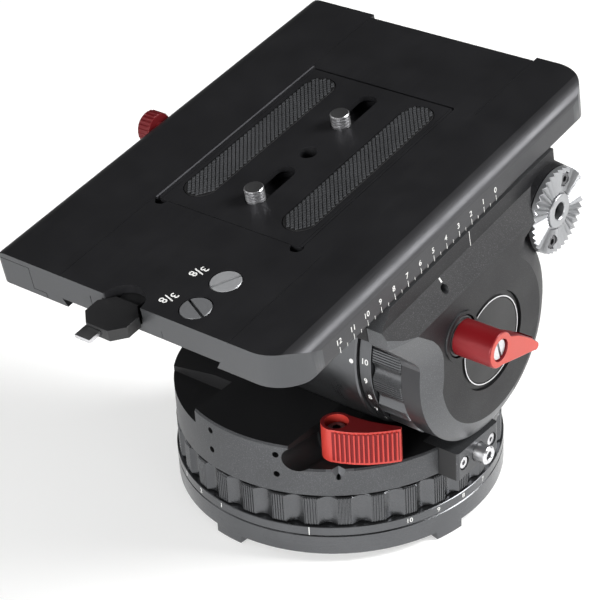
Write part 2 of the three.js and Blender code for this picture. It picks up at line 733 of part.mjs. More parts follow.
const innerPack = () =>
  tubeX(
    SHAFT_RADIUS + RUN_GAP,
    CORE_BORE - SEAT_GAP,
    CARTRIDGE_SPLIT,
    CORE_HALF - CORE_FLANGE_LENGTH - SEAT_GAP,
  );

// The bridge under the platform that joins the two cheeks over the core
function tiltBridge() {
  const arch = CORE_RADIUS + ARCH_GAP;
  const springing = Math.asin(ARCH_END_HEIGHT / arch);
  const shape = new THREE.Shape();
  shape.moveTo(-FRAME_HALF_LENGTH, BRIDGE_TOP);
  shape.lineTo(-FRAME_HALF_LENGTH, BRIDGE_END_HEIGHT);
  shape.lineTo(-BRIDGE_HAUNCH_Y, BRIDGE_HAUNCH_HEIGHT);
  shape.lineTo(-arch * Math.cos(springing), ARCH_END_HEIGHT);
  shape.absarc(0, 0, arch, Math.PI - springing, springing, true);
  shape.lineTo(BRIDGE_HAUNCH_Y, BRIDGE_HAUNCH_HEIGHT);
  shape.lineTo(FRAME_HALF_LENGTH, BRIDGE_END_HEIGHT);
  shape.lineTo(FRAME_HALF_LENGTH, BRIDGE_TOP);
  return prismX(shape, -CHEEK_INNER + SEAT_GAP, CHEEK_INNER - SEAT_GAP, SMALL);
}

// The dovetail of the rail and of its channel, grown by a clearance
function dovetail(low, high, grown) {
  return shapeOf([
    [-RAIL_HALF_WIDTH - grown, low],
    [RAIL_HALF_WIDTH + grown, low],
    [RAIL_HALF_WIDTH + RAIL_UNDERCUT + grown, high],
    [-RAIL_HALF_WIDTH - RAIL_UNDERCUT - grown, high],
  ]);
}

const slideRail = () =>
  prismY(
    dovetail(PLATFORM_BOTTOM, PLATFORM_BOTTOM + CHANNEL_DEPTH - RUN_GAP, 0),
    -FRAME_HALF_LENGTH,
    FRAME_HALF_LENGTH,
  );

// Quarter round between the lobe's rim and its outer face, as [x, radius]
function lobeRound() {
  const points = [];
  for (let i = 0; i <= ROUND_STEPS; i += 1) {
    const angle = (Math.PI / 2) * (i / ROUND_STEPS);
    points.push([
      CHEEK_OUTER - LOBE_ROUND_X + LOBE_ROUND_X * Math.sin(angle),
      LOBE_RADIUS - LOBE_ROUND_R + LOBE_ROUND_R * Math.cos(angle),
    ]);
  }
  return points;
}

// Right cheek: a hood along the platform, a round lobe over the shaft and a boss for the rosette
function cheek() {
  const hood = prismY(
    shapeOf([
      [CHEEK_INNER, BRIDGE_TOP],
      [CHEEK_INNER, 0],
      [CHEEK_OUTER, 0],
      [CHEEK_OUTER, HOOD_BOTTOM],
      [BAND_SIDE, BAND_BOTTOM],
      [BAND_SIDE, BRIDGE_TOP],
    ]),
    -FRAME_HALF_LENGTH,
    FRAME_HALF_LENGTH,
  );
  const side = prismX(
    shapeOf([
      [-FRAME_HALF_LENGTH, BRIDGE_TOP],
      [-FRAME_HALF_LENGTH, HOOD_END_HEIGHT],
      [-HOOD_KNEE_Y, HOOD_KNEE_HEIGHT],
      [-LOBE_RADIUS + LOBE_ROUND_R, HOOD_FOOT_HEIGHT],
      [LOBE_RADIUS - LOBE_ROUND_R, HOOD_FOOT_HEIGHT],
      [HOOD_KNEE_Y, HOOD_KNEE_HEIGHT],
      [FRAME_HALF_LENGTH, HOOD_END_HEIGHT],
      [FRAME_HALF_LENGTH, BRIDGE_TOP],
    ]),
    CHEEK_INNER,
    CHEEK_OUTER,
  );
  const rounding = lobeRound();
  const lobe = solid(
    revolveX(
      [[0, CHEEK_INNER], [LOBE_RADIUS, CHEEK_INNER], ...rounding.map(([x, r]) => [r, x]), [0, CHEEK_OUTER]],
      FINE,
    ),
  );
  const upright = prismZ(
    shapeOf([
      [CHEEK_INNER, LOBE_RADIUS],
      [CHEEK_INNER, -LOBE_RADIUS],
      ...rounding.map(([x, r]) => [x, -r]),
      ...rounding.map(([x, r]) => [x, r]).reverse(),
    ]),
    0,
    HOOD_BOTTOM,
  );
  const boss = solid(
    placed(
      revolveX(
        [
          [0, CHEEK_INNER],
          [ROSETTE_RADIUS + ROSETTE_BOSS_FLARE, CHEEK_INNER],
          [ROSETTE_RADIUS, ROSETTE_BACK - SEAT_GAP],
          [0, ROSETTE_BACK - SEAT_GAP],
        ],
        ROUND,
      ),
      0,
      ROSETTE_Y,
      ROSETTE_Z,
    ),
  );
  const spotFace = rodX(
    ROSETTE_RADIUS + ROSETTE_SPOT_GAP,
    ROSETTE_BACK - SEAT_GAP,
    CHEEK_OUTER + OVERRUN,
    ROSETTE_Y,
    ROSETTE_Z,
    ROUND,
  );
  const screwSeat = (sign) => {
    const [y, z] = rosetteScrewPlace(sign);
    return rodX(ROSETTE_SCREW_STEM + SEAT_GAP, ROSETTE_FACE - ROSETTE_SCREW_LENGTH - RUN_GAP * 4, ROSETTE_FACE, y, z);
  };
  return cut(
    joined(hood.intersect(side), lobe, upright, boss),
    spotFace,
    rodX(SHAFT_RADIUS + SEAT_GAP, CHEEK_INNER - OVERRUN, CHEEK_INNER + SHAFT_SINK, 0, 0),
    rodX(ROSETTE_HOLE_RADIUS, ROSETTE_FACE - ROSETTE_HOLE_DEPTH, CHEEK_OUTER, ROSETTE_Y, ROSETTE_Z),
    screwSeat(1),
    screwSeat(-1),
  );
}

// The badge's recess and the brake's boss, which only the right cheek has
function rightCheek() {
  const bossFace = CHEEK_OUTER + BRAKE_BOSS_RISE;
  const recess = rodX(
    BADGE_RECESS_RADIUS,
    CHEEK_OUTER - BADGE_RECESS_DEPTH,
    CHEEK_OUTER + OVERRUN,
    0,
    0,
    ROUND,
  );
  const stemFloor = bossFace - BRAKE_RECESS_DEPTH - KNOB_STEM_DEPTH;
  return cut(
    cut(cheek(), recess).add(
      rodX(BRAKE_BOSS_RADIUS, CHEEK_OUTER - BADGE_RECESS_DEPTH - BRAKE_BOSS_RISE, bossFace, BRAKE_Y, BRAKE_Z, ROUND),
    ),
    rodX(BRAKE_RECESS_RADIUS, bossFace - BRAKE_RECESS_DEPTH, bossFace + OVERRUN, BRAKE_Y, BRAKE_Z, ROUND),
    rodX(KNOB_STEM_RADIUS + RUN_GAP, stemFloor, bossFace, BRAKE_Y, BRAKE_Z),
  );
}

function leftCheek() {
  const recess = rodX(
    BADGE_RECESS_RADIUS,
    CHEEK_OUTER - BADGE_RECESS_DEPTH,
    CHEEK_OUTER + OVERRUN,
    0,
    0,
    ROUND,
  );
  return mirrored(cut(cheek(), recess));
}

const brakeClear = () =>
  rodX(BRAKE_BOSS_RADIUS + SEAT_GAP, CHEEK_OUTER - BADGE_RECESS_DEPTH, CHEEK_OUTER + OVERRUN, BRAKE_Y, BRAKE_Z, ROUND);

function badgeRing() {
  const outer = BADGE_RECESS_RADIUS - SEAT_GAP;
  const floor = CHEEK_OUTER - BADGE_RECESS_DEPTH + SEAT_GAP;
  return cut(tubeX(outer - BADGE_RING_WIDTH, outer, floor, floor + BADGE_RING_HEIGHT), brakeClear());
}

function badgeDisc() {
  const radius = BADGE_RECESS_RADIUS - BADGE_RING_WIDTH - SEAT_GAP * 2;
  const floor = CHEEK_OUTER - BADGE_RECESS_DEPTH + SEAT_GAP;
  return cut(rodX(radius, floor, floor + BADGE_DISC_HEIGHT, 0, 0, ROUND), brakeClear());
}

const leftCover = () =>
  mirrored(
    rodX(
      BADGE_RECESS_RADIUS - SEAT_GAP,
      CHEEK_OUTER - BADGE_RECESS_DEPTH + SEAT_GAP,
      CHEEK_OUTER - SEAT_GAP,
      0,
      0,
      ROUND,
    ),
  );

const brakeRecessFloor = CHEEK_OUTER + BRAKE_BOSS_RISE - BRAKE_RECESS_DEPTH;
const knobStart = brakeRecessFloor + SEAT_GAP + COLLAR_HEIGHT + RUN_GAP;

function tiltBrakeCollar() {
  const floor = brakeRecessFloor + SEAT_GAP;
  const profile = tubeProfile(
    KNOB_STEM_RADIUS + RUN_GAP,
    BRAKE_RECESS_RADIUS - SEAT_GAP,
    floor,
    floor + COLLAR_HEIGHT,
  );
  return solid(placed(revolveX(profile, ROUND), 0, BRAKE_Y, BRAKE_Z));
}

// The red knob: a round barrel with a wing at its outer end
function tiltBrakeKnob() {
  const end = knobStart + KNOB_LENGTH;
  const heading = radians(WING_ANGLE);
  const wing = taperedArm(
    BRAKE_Y,
    BRAKE_Z,
    KNOB_RADIUS,
    BRAKE_Y + (WING_REACH - WING_TIP_RADIUS) * Math.cos(heading),
    BRAKE_Z + (WING_REACH - WING_TIP_RADIUS) * Math.sin(heading),
    WING_TIP_RADIUS,
  );
  const stemEnd = brakeRecessFloor - KNOB_STEM_DEPTH + RUN_GAP;
  return cut(
    joined(
      rodX(KNOB_RADIUS, knobStart, end, BRAKE_Y, BRAKE_Z, ROUND),
      prismX(wing, end - WING_THICKNESS, end),
      rodX(KNOB_STEM_RADIUS, stemEnd, knobStart, BRAKE_Y, BRAKE_Z),
    ),
    rodX(
      KNOB_SCREW_RADIUS + SEAT_GAP,
      end - KNOB_SCREW_SINK - KNOB_SCREW_HEIGHT,
      end + OVERRUN,
      BRAKE_Y,
      BRAKE_Z,
    ),
  );
}

function tiltBrakeScrew() {
  const top = knobStart + KNOB_LENGTH - KNOB_SCREW_SINK;
  const low = top - KNOB_SCREW_HEIGHT + SEAT_GAP;
  return cut(
    rodX(KNOB_SCREW_RADIUS, low, top, BRAKE_Y, BRAKE_Z),
    block(
      top - SLOT_DEPTH,
      top + OVERRUN,
      BRAKE_Y - SLOT_WIDTH / 2,
      BRAKE_Y + SLOT_WIDTH / 2,
      BRAKE_Z - KNOB_SCREW_RADIUS,
      BRAKE_Z + KNOB_SCREW_RADIUS,
    ),
  );
}

function rosetteScrewPlace(sign) {
  const angle = radians(ROSETTE_SCREW_ANGLE);
  return [
    ROSETTE_Y + sign * ROSETTE_SCREW_CIRCLE * Math.cos(angle),
    ROSETTE_Z + sign * ROSETTE_SCREW_CIRCLE * Math.sin(angle),
  ];
}

// Radial teeth: rings of points round the axis, each [radius, x at a crest, x at a root]
function toothedDisc(rings) {
  const steps = ROSETTE_TEETH * 2;
  const ringPoint = ([radius, crest, root], step) => {
    const angle = (2 * Math.PI * step) / steps;
    return new THREE.Vector3(step % 2 ? root : crest, radius * Math.cos(angle), radius * Math.sin(angle));
  };
  const places = [];
  const face = (...corners) => corners.forEach((corner) => places.push(corner.x, corner.y, corner.z));
  for (let step = 0; step < steps; step += 1) {
    const next = (step + 1) % steps;
    rings.slice(1).forEach((ring, index) => {
      const [a, b] = [ringPoint(rings[index], step), ringPoint(rings[index], next)];
      const [c, d] = [ringPoint(ring, step), ringPoint(ring, next)];
      face(a, c, d);
      face(a, d, b);
    });
  }
  const geometry = new THREE.BufferGeometry();
  geometry.setAttribute("position", new THREE.BufferAttribute(Float32Array.from(places), 3));
  return geometry;
}

function rosette() {
  const crestInner = ROSETTE_FACE - TOOTH_DEPTH / 4;
  const rootInner = ROSETTE_FACE - TOOTH_DEPTH * 0.75;
  const disc = solid(
    placed(
      toothedDisc([
        [0, ROSETTE_BACK, ROSETTE_BACK],
        [ROSETTE_RADIUS, ROSETTE_BACK, ROSETTE_BACK],
        [ROSETTE_RADIUS, ROSETTE_FACE, ROSETTE_FACE - TOOTH_DEPTH],
        [TOOTH_INNER_RADIUS, crestInner, rootInner],
        [0, crestInner, crestInner],
      ]),
      0,
      ROSETTE_Y,
      ROSETTE_Z,
    ),
  );
  const centre = rodX(ROSETTE_RING_RADIUS, ROSETTE_BACK, ROSETTE_FACE, ROSETTE_Y, ROSETTE_Z, ROUND);
  const sunk = ROSETTE_FACE - ROSETTE_SCREW_SINK - ROSETTE_SCREW_SINK / 2;
  const seat = (sign) => {
    const [y, z] = rosetteScrewPlace(sign);
    return joined(
      rodX(ROSETTE_SCREW_RADIUS + SEAT_GAP, sunk, ROSETTE_FACE + OVERRUN, y, z),
      rodX(ROSETTE_SCREW_STEM + SEAT_GAP, ROSETTE_BACK - OVERRUN, sunk + SEAT_GAP, y, z),
    );
  };
  return cut(
    disc.add(centre),
    rodX(ROSETTE_HOLE_RADIUS, ROSETTE_BACK - OVERRUN, ROSETTE_FACE + OVERRUN, ROSETTE_Y, ROSETTE_Z),
    seat(1),
    seat(-1),
  );
}

function rosetteScrew(sign) {
  const [y, z] = rosetteScrewPlace(sign);
  const low = ROSETTE_FACE - ROSETTE_SCREW_SINK - ROSETTE_SCREW_SINK / 2 + SEAT_GAP;
  const top = ROSETTE_FACE - TOOTH_DEPTH / 2;
  return cut(
    joined(
      rodX(ROSETTE_SCREW_RADIUS, low, top, y, z),
      rodX(ROSETTE_SCREW_STEM, ROSETTE_FACE - ROSETTE_SCREW_LENGTH, low, y, z),
    ),
    rodX(ROSETTE_SCREW_STEM, top - SLOT_DEPTH / 2, top + OVERRUN, y, z, 6),
  );
}

// The platform's section across its length, seen from the lens end
function platformSection() {
  const [side, top] = [BAND_SIDE, PLATFORM_TOP];
  const [inner, shoulder] = [side - BULLNOSE_WIDTH, top - BULLNOSE_DROP];
  const under = PLATFORM_BOTTOM;
  const shape = new THREE.Shape();
  shape.moveTo(-side + UNDER_EDGE_ROUND, under);
  shape.lineTo(side - UNDER_EDGE_ROUND, under);
  shape.absarc(side - UNDER_EDGE_ROUND, under + UNDER_EDGE_ROUND, UNDER_EDGE_ROUND, -Math.PI / 2, 0, false);
  shape.lineTo(side, shoulder);
  shape.absellipse(inner, shoulder, BULLNOSE_WIDTH, BULLNOSE_DROP, 0, Math.PI / 2, false, 0);
  shape.lineTo(-inner, top);
  shape.absellipse(-inner, shoulder, BULLNOSE_WIDTH, BULLNOSE_DROP, Math.PI / 2, Math.PI, false, 0);
  shape.lineTo(-side, under + UNDER_EDGE_ROUND);
  shape.absarc(-side + UNDER_EDGE_ROUND, under + UNDER_EDGE_ROUND, UNDER_EDGE_ROUND, Math.PI, Math.PI * 1.5, false);
  return shape;
}

function platformBlank() {
  const plan = roundedRectangle(
    -BAND_SIDE,
    BAND_SIDE,
    PLATFORM_FRONT,
    PLATFORM_REAR,
    PLATFORM_CORNER_RADIUS,
    PLATFORM_LEFT_CORNER_RADIUS,
  );
  return prismY(platformSection(), PLATFORM_FRONT, PLATFORM_REAR, ROUND_STEPS + 1).intersect(
    prismZ(plan, PLATFORM_BOTTOM, PLATFORM_TOP, ROUND_STEPS + 3),
  );
}

// The clamp rail's part of the section, shrunk by a gap where it meets the platform
function clampRegion(gap) {
  const top = PLATFORM_TOP - CLAMP_TOP_DROP - gap;
  const foot = PLATFORM_BOTTOM + CLAMP_FOOT_RISE - gap;
  return prismY(
    shapeOf([
      [-BAND_SIDE - OVERRUN, PLATFORM_BOTTOM - OVERRUN],
      [-CLAMP_FOOT_INNER - gap, PLATFORM_BOTTOM - OVERRUN],
      [-CLAMP_FOOT_INNER - gap, foot],
      [-CLAMP_INNER - gap, foot],
      [-CLAMP_INNER - gap, top],
      [-BAND_SIDE - OVERRUN, top],
    ]),
    PLATFORM_FRONT - OVERRUN,
    PLATFORM_REAR + OVERRUN,
  );
}

const lockBore = () =>
  rodX(
    LOCK_STEM_RADIUS + RUN_GAP,
    -BAND_SIDE - OVERRUN,
    -BAND_SIDE + LOCK_STEM_LENGTH + RUN_GAP,
    LOCK_Y,
    LOCK_Z,
  );

const keyNose = PLATFORM_FRONT + KEY_SEAT - KEY_LENGTH;

// The octagonal head of the screw key, grown by a clearance
function keyOutline(grown) {
  const [x0, x1] = [KEY_X - KEY_HALF_WIDTH - grown, KEY_X + KEY_HALF_WIDTH + grown];
  const [y0, y1] = [keyNose - grown, PLATFORM_FRONT + KEY_SEAT + grown];
  return shapeOf([
    [x0 + KEY_CORNER, y0],
    [x1 - KEY_CORNER, y0],
    [x1, y0 + KEY_CORNER],
    [x1, y1 - KEY_CORNER],
    [x1 - KEY_CORNER, y1],
    [x0 + KEY_CORNER, y1],
    [x0, y1 - KEY_CORNER],
    [x0, y0 + KEY_CORNER],
  ]);
}

const keyTongue = (grown) =>
  block(
    KEY_X - KEY_TONGUE_HALF_WIDTH - grown,
    KEY_X + KEY_TONGUE_HALF_WIDTH + grown,
    PLATFORM_FRONT,
    PLATFORM_FRONT + KEY_SEAT + KEY_TONGUE_LENGTH + grown,
    KEY_Z - KEY_TONGUE_THICKNESS / 2 - grown,
    KEY_Z + KEY_TONGUE_THICKNESS / 2 + grown,
  );

const bladeBlock = (grown) =>
  block(
    KEY_X + BLADE_SHIFT - BLADE_HALF_WIDTH - grown,
    KEY_X + BLADE_SHIFT + BLADE_HALF_WIDTH + grown,
    keyNose - BLADE_REACH - grown,
    keyNose + BLADE_SEAT + grown,
    KEY_Z - BLADE_THICKNESS / 2 - grown,
    KEY_Z + BLADE_THICKNESS / 2 + grown,
  );

const keyHead = () =>
  cut(
    joined(
      prismZ(keyOutline(0), KEY_Z - KEY_THICKNESS / 2, KEY_Z + KEY_THICKNESS / 2),
      keyTongue(0),
    ),
    bladeBlock(SEAT_GAP),
  );

// Where a screw head and its washer travel under a slot of the camera plate
function underSlot(start, end, low, high) {
  const reach = WASHER_RADIUS - SLOT_HALF_WIDTH + UNDERCUT_MARGIN;
  const half = WASHER_RADIUS + UNDERCUT_MARGIN;
  return prismZ(roundedRectangle(-half, half, start - reach, end + reach, half - OVERRUN), low, high, ROUND_STEPS);
}

function platform() {
  const channel = prismY(
    dovetail(PLATFORM_BOTTOM, PLATFORM_BOTTOM + CHANNEL_DEPTH, RUN_GAP),
    PLATFORM_FRONT - OVERRUN,
    PLATFORM_REAR + OVERRUN,
  );
  const channelMouth = block(
    -RAIL_HALF_WIDTH - RUN_GAP,
    RAIL_HALF_WIDTH + RUN_GAP,
    PLATFORM_FRONT - OVERRUN,
    PLATFORM_REAR + OVERRUN,
    PLATFORM_BOTTOM - OVERRUN,
    PLATFORM_BOTTOM + RUN_GAP,
  );
  const plateSeat = prismZ(
    roundedRectangle(
      -PLATE_HALF_WIDTH - SEAT_GAP,
      PLATE_HALF_WIDTH + SEAT_GAP,
      PLATE_FRONT - SEAT_GAP,
      PLATE_REAR + SEAT_GAP,
      PLATE_CORNER + SEAT_GAP,
    ),
    PLATE_BOTTOM - SEAT_GAP,
    PLATFORM_TOP + OVERRUN,
    ROUND_STEPS,
  );
  const pocketLow = PLATE_BOTTOM - SEAT_GAP - UNDER_POCKET_DEPTH;
  const keySeat = prismZ(
    keyOutline(RUN_GAP),
    KEY_Z - KEY_THICKNESS / 2 - RUN_GAP,
    KEY_Z + KEY_THICKNESS / 2 + RUN_GAP,
  );
  const spares = SPARE_YS.map((y) =>
    rodZ(SPARE_RADIUS + SEAT_GAP, PLATFORM_TOP - SPARE_DEPTH - SEAT_GAP, PLATFORM_TOP + OVERRUN, SPARE_X, y),
  );
  return cut(
    platformBlank(),
    clampRegion(0),
    channel,
    channelMouth,
    plateSeat,
    underSlot(SLOT_FRONT_START, SLOT_FRONT_END, pocketLow, PLATE_BOTTOM),
    underSlot(SLOT_REAR_START, SLOT_REAR_END, pocketLow, PLATE_BOTTOM),
    lockBore(),
    keySeat,
    keyTongue(RUN_GAP),
    rodZ(THUMB_RADIUS, KEY_Z, PLATFORM_TOP + OVERRUN, THUMB_X, PLATFORM_FRONT),
    ...spares,
  );
}

const leftClampRail = () => cut(platformBlank().intersect(clampRegion(SEAT_GAP)), lockBore());

// A slot with round ends along Y
function slotY(halfWidth, x, start, end, low, high) {
  const shape = roundedRectangle(x - halfWidth, x + halfWidth, start, end, halfWidth);
  return prismZ(shape, low, high, ROUND_STEPS + 1);
}

function cameraPlate() {
  const outline = roundedRectangle(-PLATE_HALF_WIDTH, PLATE_HALF_WIDTH, PLATE_FRONT, PLATE_REAR, PLATE_CORNER);
  const padSeat = (x) =>
    slotY(
      PAD_WIDTH / 2 + SEAT_GAP,
      x,
      PAD_FRONT - SEAT_GAP,
      PAD_REAR + SEAT_GAP,
      PLATE_TOP - PAD_RECESS,
      PLATE_TOP + OVERRUN,
    );
  const slots = [
    [SLOT_FRONT_START, SLOT_FRONT_END],
    [SLOT_REAR_START, SLOT_REAR_END],
  ].flatMap(([start, end]) => [
    slotY(SLOT_HALF_WIDTH, 0, start, end, PLATE_BOTTOM - OVERRUN, PLATE_TOP + OVERRUN),
    underSlot(start, end, PLATE_BOTTOM - OVERRUN, LIP_BOTTOM),
  ]);
  return cut(
    prismZ(outline, PLATE_BOTTOM, PLATE_TOP, ROUND_STEPS),
    ...slots,
    padSeat(-PAD_OFFSET),
    padSeat(PAD_OFFSET),
    rodZ(CENTRE_HOLE_RADIUS, PLATE_BOTTOM - OVERRUN, PLATE_TOP + OVERRUN, 0, CENTRE_HOLE_Y),
  );
}

const rubberPad = (x) =>
  slotY(PAD_WIDTH / 2, x, PAD_FRONT, PAD_REAR, PLATE_TOP - PAD_RECESS + SEAT_GAP, PLATE_TOP + PAD_PROUD);

const studPlace = (slotStart) => slotStart + SLOT_HALF_WIDTH + (SLOT_HALF_WIDTH - STUD_RADIUS);

const screwWasher = (y) =>
  solid(
    placed(
      revolveZ(
        tubeProfile(STUD_RADIUS + SEAT_GAP, WASHER_RADIUS, WASHER_TOP - WASHER_THICKNESS, WASHER_TOP),
        SMALL,
      ),
      0,
      y,
      0,
    ),
  );

function cameraScrew(y) {
  const headLow = HEAD_TOP - HEAD_HEIGHT;
  return cut(
    joined(
      rodZ(HEAD_RADIUS, headLow, HEAD_TOP, 0, y),
      rodZ(STUD_RADIUS, HEAD_TOP, PLATE_TOP + STUD_PROUD, 0, y),
    ),
    block(-HEAD_RADIUS, HEAD_RADIUS, y - SLOT_WIDTH / 2, y + SLOT_WIDTH / 2, headLow - OVERRUN, headLow + SLOT_DEPTH),
  );
}

const spareScrew = (y) =>
  slottedHeadZ(SPARE_RADIUS, PLATFORM_TOP - SPARE_DEPTH, PLATFORM_TOP - SEAT_GAP / 2, SPARE_X, y);

function plateLockKnob() {
  const start = BAND_SIDE + RUN_GAP;
  const end = start + LOCK_LENGTH;
  const profile = [
    [0, start],
    [LOCK_RADIUS, start],
    [LOCK_RADIUS, end - LOCK_EDGE],
    [LOCK_RADIUS - LOCK_EDGE, end],
    [0, end],
  ];
  const head = solid(placed(revolveX(profile, ROUND), 0, LOCK_Y, LOCK_Z));
  return mirrored(head.add(rodX(LOCK_STEM_RADIUS, BAND_SIDE - LOCK_STEM_LENGTH, start, LOCK_Y, LOCK_Z)));
}

// Groups: the level unit, and the tilt unit with its origin on the tilt axis
const head = new THREE.Group();
const coreUnit = new THREE.Group();
coreUnit.position.z = TILT_AXIS_Z;
const tiltUnit = new THREE.Group();
tiltUnit.position.z = TILT_AXIS_Z;
tiltUnit.rotation.x = radians(REST_TILT);
head.add(coreUnit, tiltUnit);

function add(group, name, body, material) {
  const mesh = new THREE.Mesh(surface(body), material);
  mesh.name = name;
  group.add(mesh);
}

// Base and pan unit
add(head, "base_flange", baseFlange(), GREY_SATIN);
add(head, "pan_spindle", panSpindle(), SILVER);
add(
  head,
  "pan_fluid_cartridge",
  tubeZ(SPINDLE_RADIUS + SEAT_GAP, CARTRIDGE_RADIUS, CARTRIDGE_BOTTOM, GRIP_TOP),
  BRASS,
);
add(head, "pan_number_ring", tubeZ(DIAL_INNER_RADIUS, BASE_RADIUS, DIAL_BOTTOM, NUMBER_TOP, FINE), GREY_SATIN);
const panGrip = gripOutline(PAN_GRIP_RADIUS, DIAL_INNER_RADIUS, PAN_GRIP_PITCHES);
add(head, "pan_drag_ring", prismZ(panGrip, GRIP_BOTTOM, GRIP_TOP, ROUND / 2), GREY_SATIN);
add(head, "pan_body", panBody(), GREY_SATIN);
add(
  head,
  "pan_bearing",
  tubeZ(SPINDLE_RADIUS + RUN_GAP, PAN_BEARING_RADIUS, BODY_BOTTOM, BODY_BOTTOM + PAN_BEARING_HEIGHT),
  SILVER,
);
add(head, "lock_block", lockBlock(), BLACK_MATTE);
add(head, "block_screw_front", blockScrew(BLOCK_MIDDLE_Y - BLOCK_SCREW_OFFSET), SILVER);
add(head, "block_screw_rear", blockScrew(BLOCK_MIDDLE_Y + BLOCK_SCREW_OFFSET), SILVER);
add(head, "steel_pin", steelPin(), SILVER);
add(head, "bubble_bezel", bubbleBezel(), BLACK_MATTE);
add(head, "bubble_vial", bubbleVial(), VIAL_GREEN);
add(head, "pan_brake_lever", panBrakeLever(), RED_MATTE);
add(head, "pan_brake_screw", panBrakeScrew(), SILVER);

// Core of the tilt unit, level with the pan unit
add(coreUnit, "tilt_core", tubeX(CORE_BORE, CORE_RADIUS, -CORE_HALF, CORE_HALF, FINE), GREY_SATIN);
add(coreUnit, "hub_right", hub(), SILVER);
add(coreUnit, "hub_left", mirrored(hub()), SILVER);
add(coreUnit, "tilt_bearing_right", tiltBearing(), SILVER);
add(coreUnit, "tilt_bearing_left", mirrored(tiltBearing()), SILVER);
add(coreUnit, "tilt_fluid_cartridge", innerPack(), BRASS);
add(coreUnit, "counterbalance_springs", mirrored(innerPack()), SILVER);
const dialInner = (HUB_RADIUS + RUN_GAP) / FLATS_SHARE;
const numberRing = tubeX(dialInner, TILT_DIAL_RADIUS, TILT_NUMBER_START, TILT_GRIP_START - SEAT_GAP, FINE);
const tiltGripOutline = gripOutline(TILT_DIAL_RADIUS, dialInner, TILT_GRIP_PITCHES);
const tiltGrip = prismX(tiltGripOutline, TILT_GRIP_START, TILT_GRIP_END, ROUND / 2);
add(coreUnit, "tilt_number_ring", numberRing, GREY_SATIN);
add(coreUnit, "tilt_drag_ring", tiltGrip, GREY_SATIN);
add(coreUnit, "counterbalance_number_ring", mirrored(numberRing), GREY_SATIN);
add(coreUnit, "counterbalance_ring", mirrored(tiltGrip), GREY_SATIN);

// Tilt frame
const shaftEnd = CHEEK_INNER + SHAFT_SINK - SEAT_GAP;
add(tiltUnit, "tilt_shaft", rodX(SHAFT_RADIUS, -shaftEnd, shaftEnd), SILVER);
add(tiltUnit, "tilt_bridge", tiltBridge(), BLACK_SATIN);
add(tiltUnit, "slide_rail", slideRail(), BLACK_MATTE);
add(tiltUnit, "right_cheek", rightCheek(), BLACK_SATIN);
add(tiltUnit, "left_cheek", leftCheek(), BLACK_SATIN);
add(tiltUnit, "left_cover", leftCover(), BLACK_MATTE);
add(tiltUnit, "badge_ring", badgeRing(), SILVER);
add(tiltUnit, "badge_disc", badgeDisc(), BLACK_MATTE);
add(tiltUnit, "tilt_brake_collar", tiltBrakeCollar(), BLACK_MATTE);
add(tiltUnit, "tilt_brake_knob", tiltBrakeKnob(), RED_MATTE);
add(tiltUnit, "tilt_brake_screw", tiltBrakeScrew(), SILVER);
add(tiltUnit, "right_rosette", rosette(), SILVER);
add(tiltUnit, "left_rosette", mirrored(rosette()), SILVER);
for (const [place, sign] of [
  ["upper", 1],
  ["lower", -1],
]) {
  add(tiltUnit, "right_rosette_screw_" + place, rosetteScrew(sign), SILVER);
  add(tiltUnit, "left_rosette_screw_" + place, mirrored(rosetteScrew(sign)), SILVER);
}

// Sliding platform
add(tiltUnit, "platform", platform(), BLACK_SATIN);
add(tiltUnit, "left_clamp_rail", leftClampRail(), GREY_SATIN);
add(tiltUnit, "camera_plate", cameraPlate(), BLACK_SATIN);
add(tiltUnit, "pad_left", rubberPad(-PAD_OFFSET), RUBBER);
add(tiltUnit, "pad_right", rubberPad(PAD_OFFSET), RUBBER);
add(tiltUnit, "spare_screw_a", spareScrew(SPARE_YS[0]), SILVER);
add(tiltUnit, "spare_screw_b", spareScrew(SPARE_YS[1]), SILVER);
add(tiltUnit, "plate_lock_knob", plateLockKnob(), RED_MATTE);
add(tiltUnit, "key_head", keyHead(), BLACK_MATTE);
add(tiltUnit, "key_blade", bladeBlock(0), SILVER);
for (const [place, start] of [
  ["front", SLOT_FRONT_START],
  ["rear", SLOT_REAR_START],
]) {
  add(tiltUnit, "screw_washer_" + place, screwWasher(studPlace(start)), SILVER);
  add(tiltUnit, "camera_screw_" + place, cameraScrew(studPlace(start)), SILVER);
}

export default head;
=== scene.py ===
"""Looks of a fluid head for a film camera.

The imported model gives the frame. This script sets up a plain studio and the camera, puts detailed pieces over
the plain nodes and gives every visible surface its finish. Sizes are in millimetres until a piece is placed.
"""

from __future__ import annotations

import json
import logging
import math
from dataclasses import dataclass, replace
from enum import Enum
from typing import Any, Callable, Sequence

import bmesh
import bpy
from mathutils import Matrix, Vector

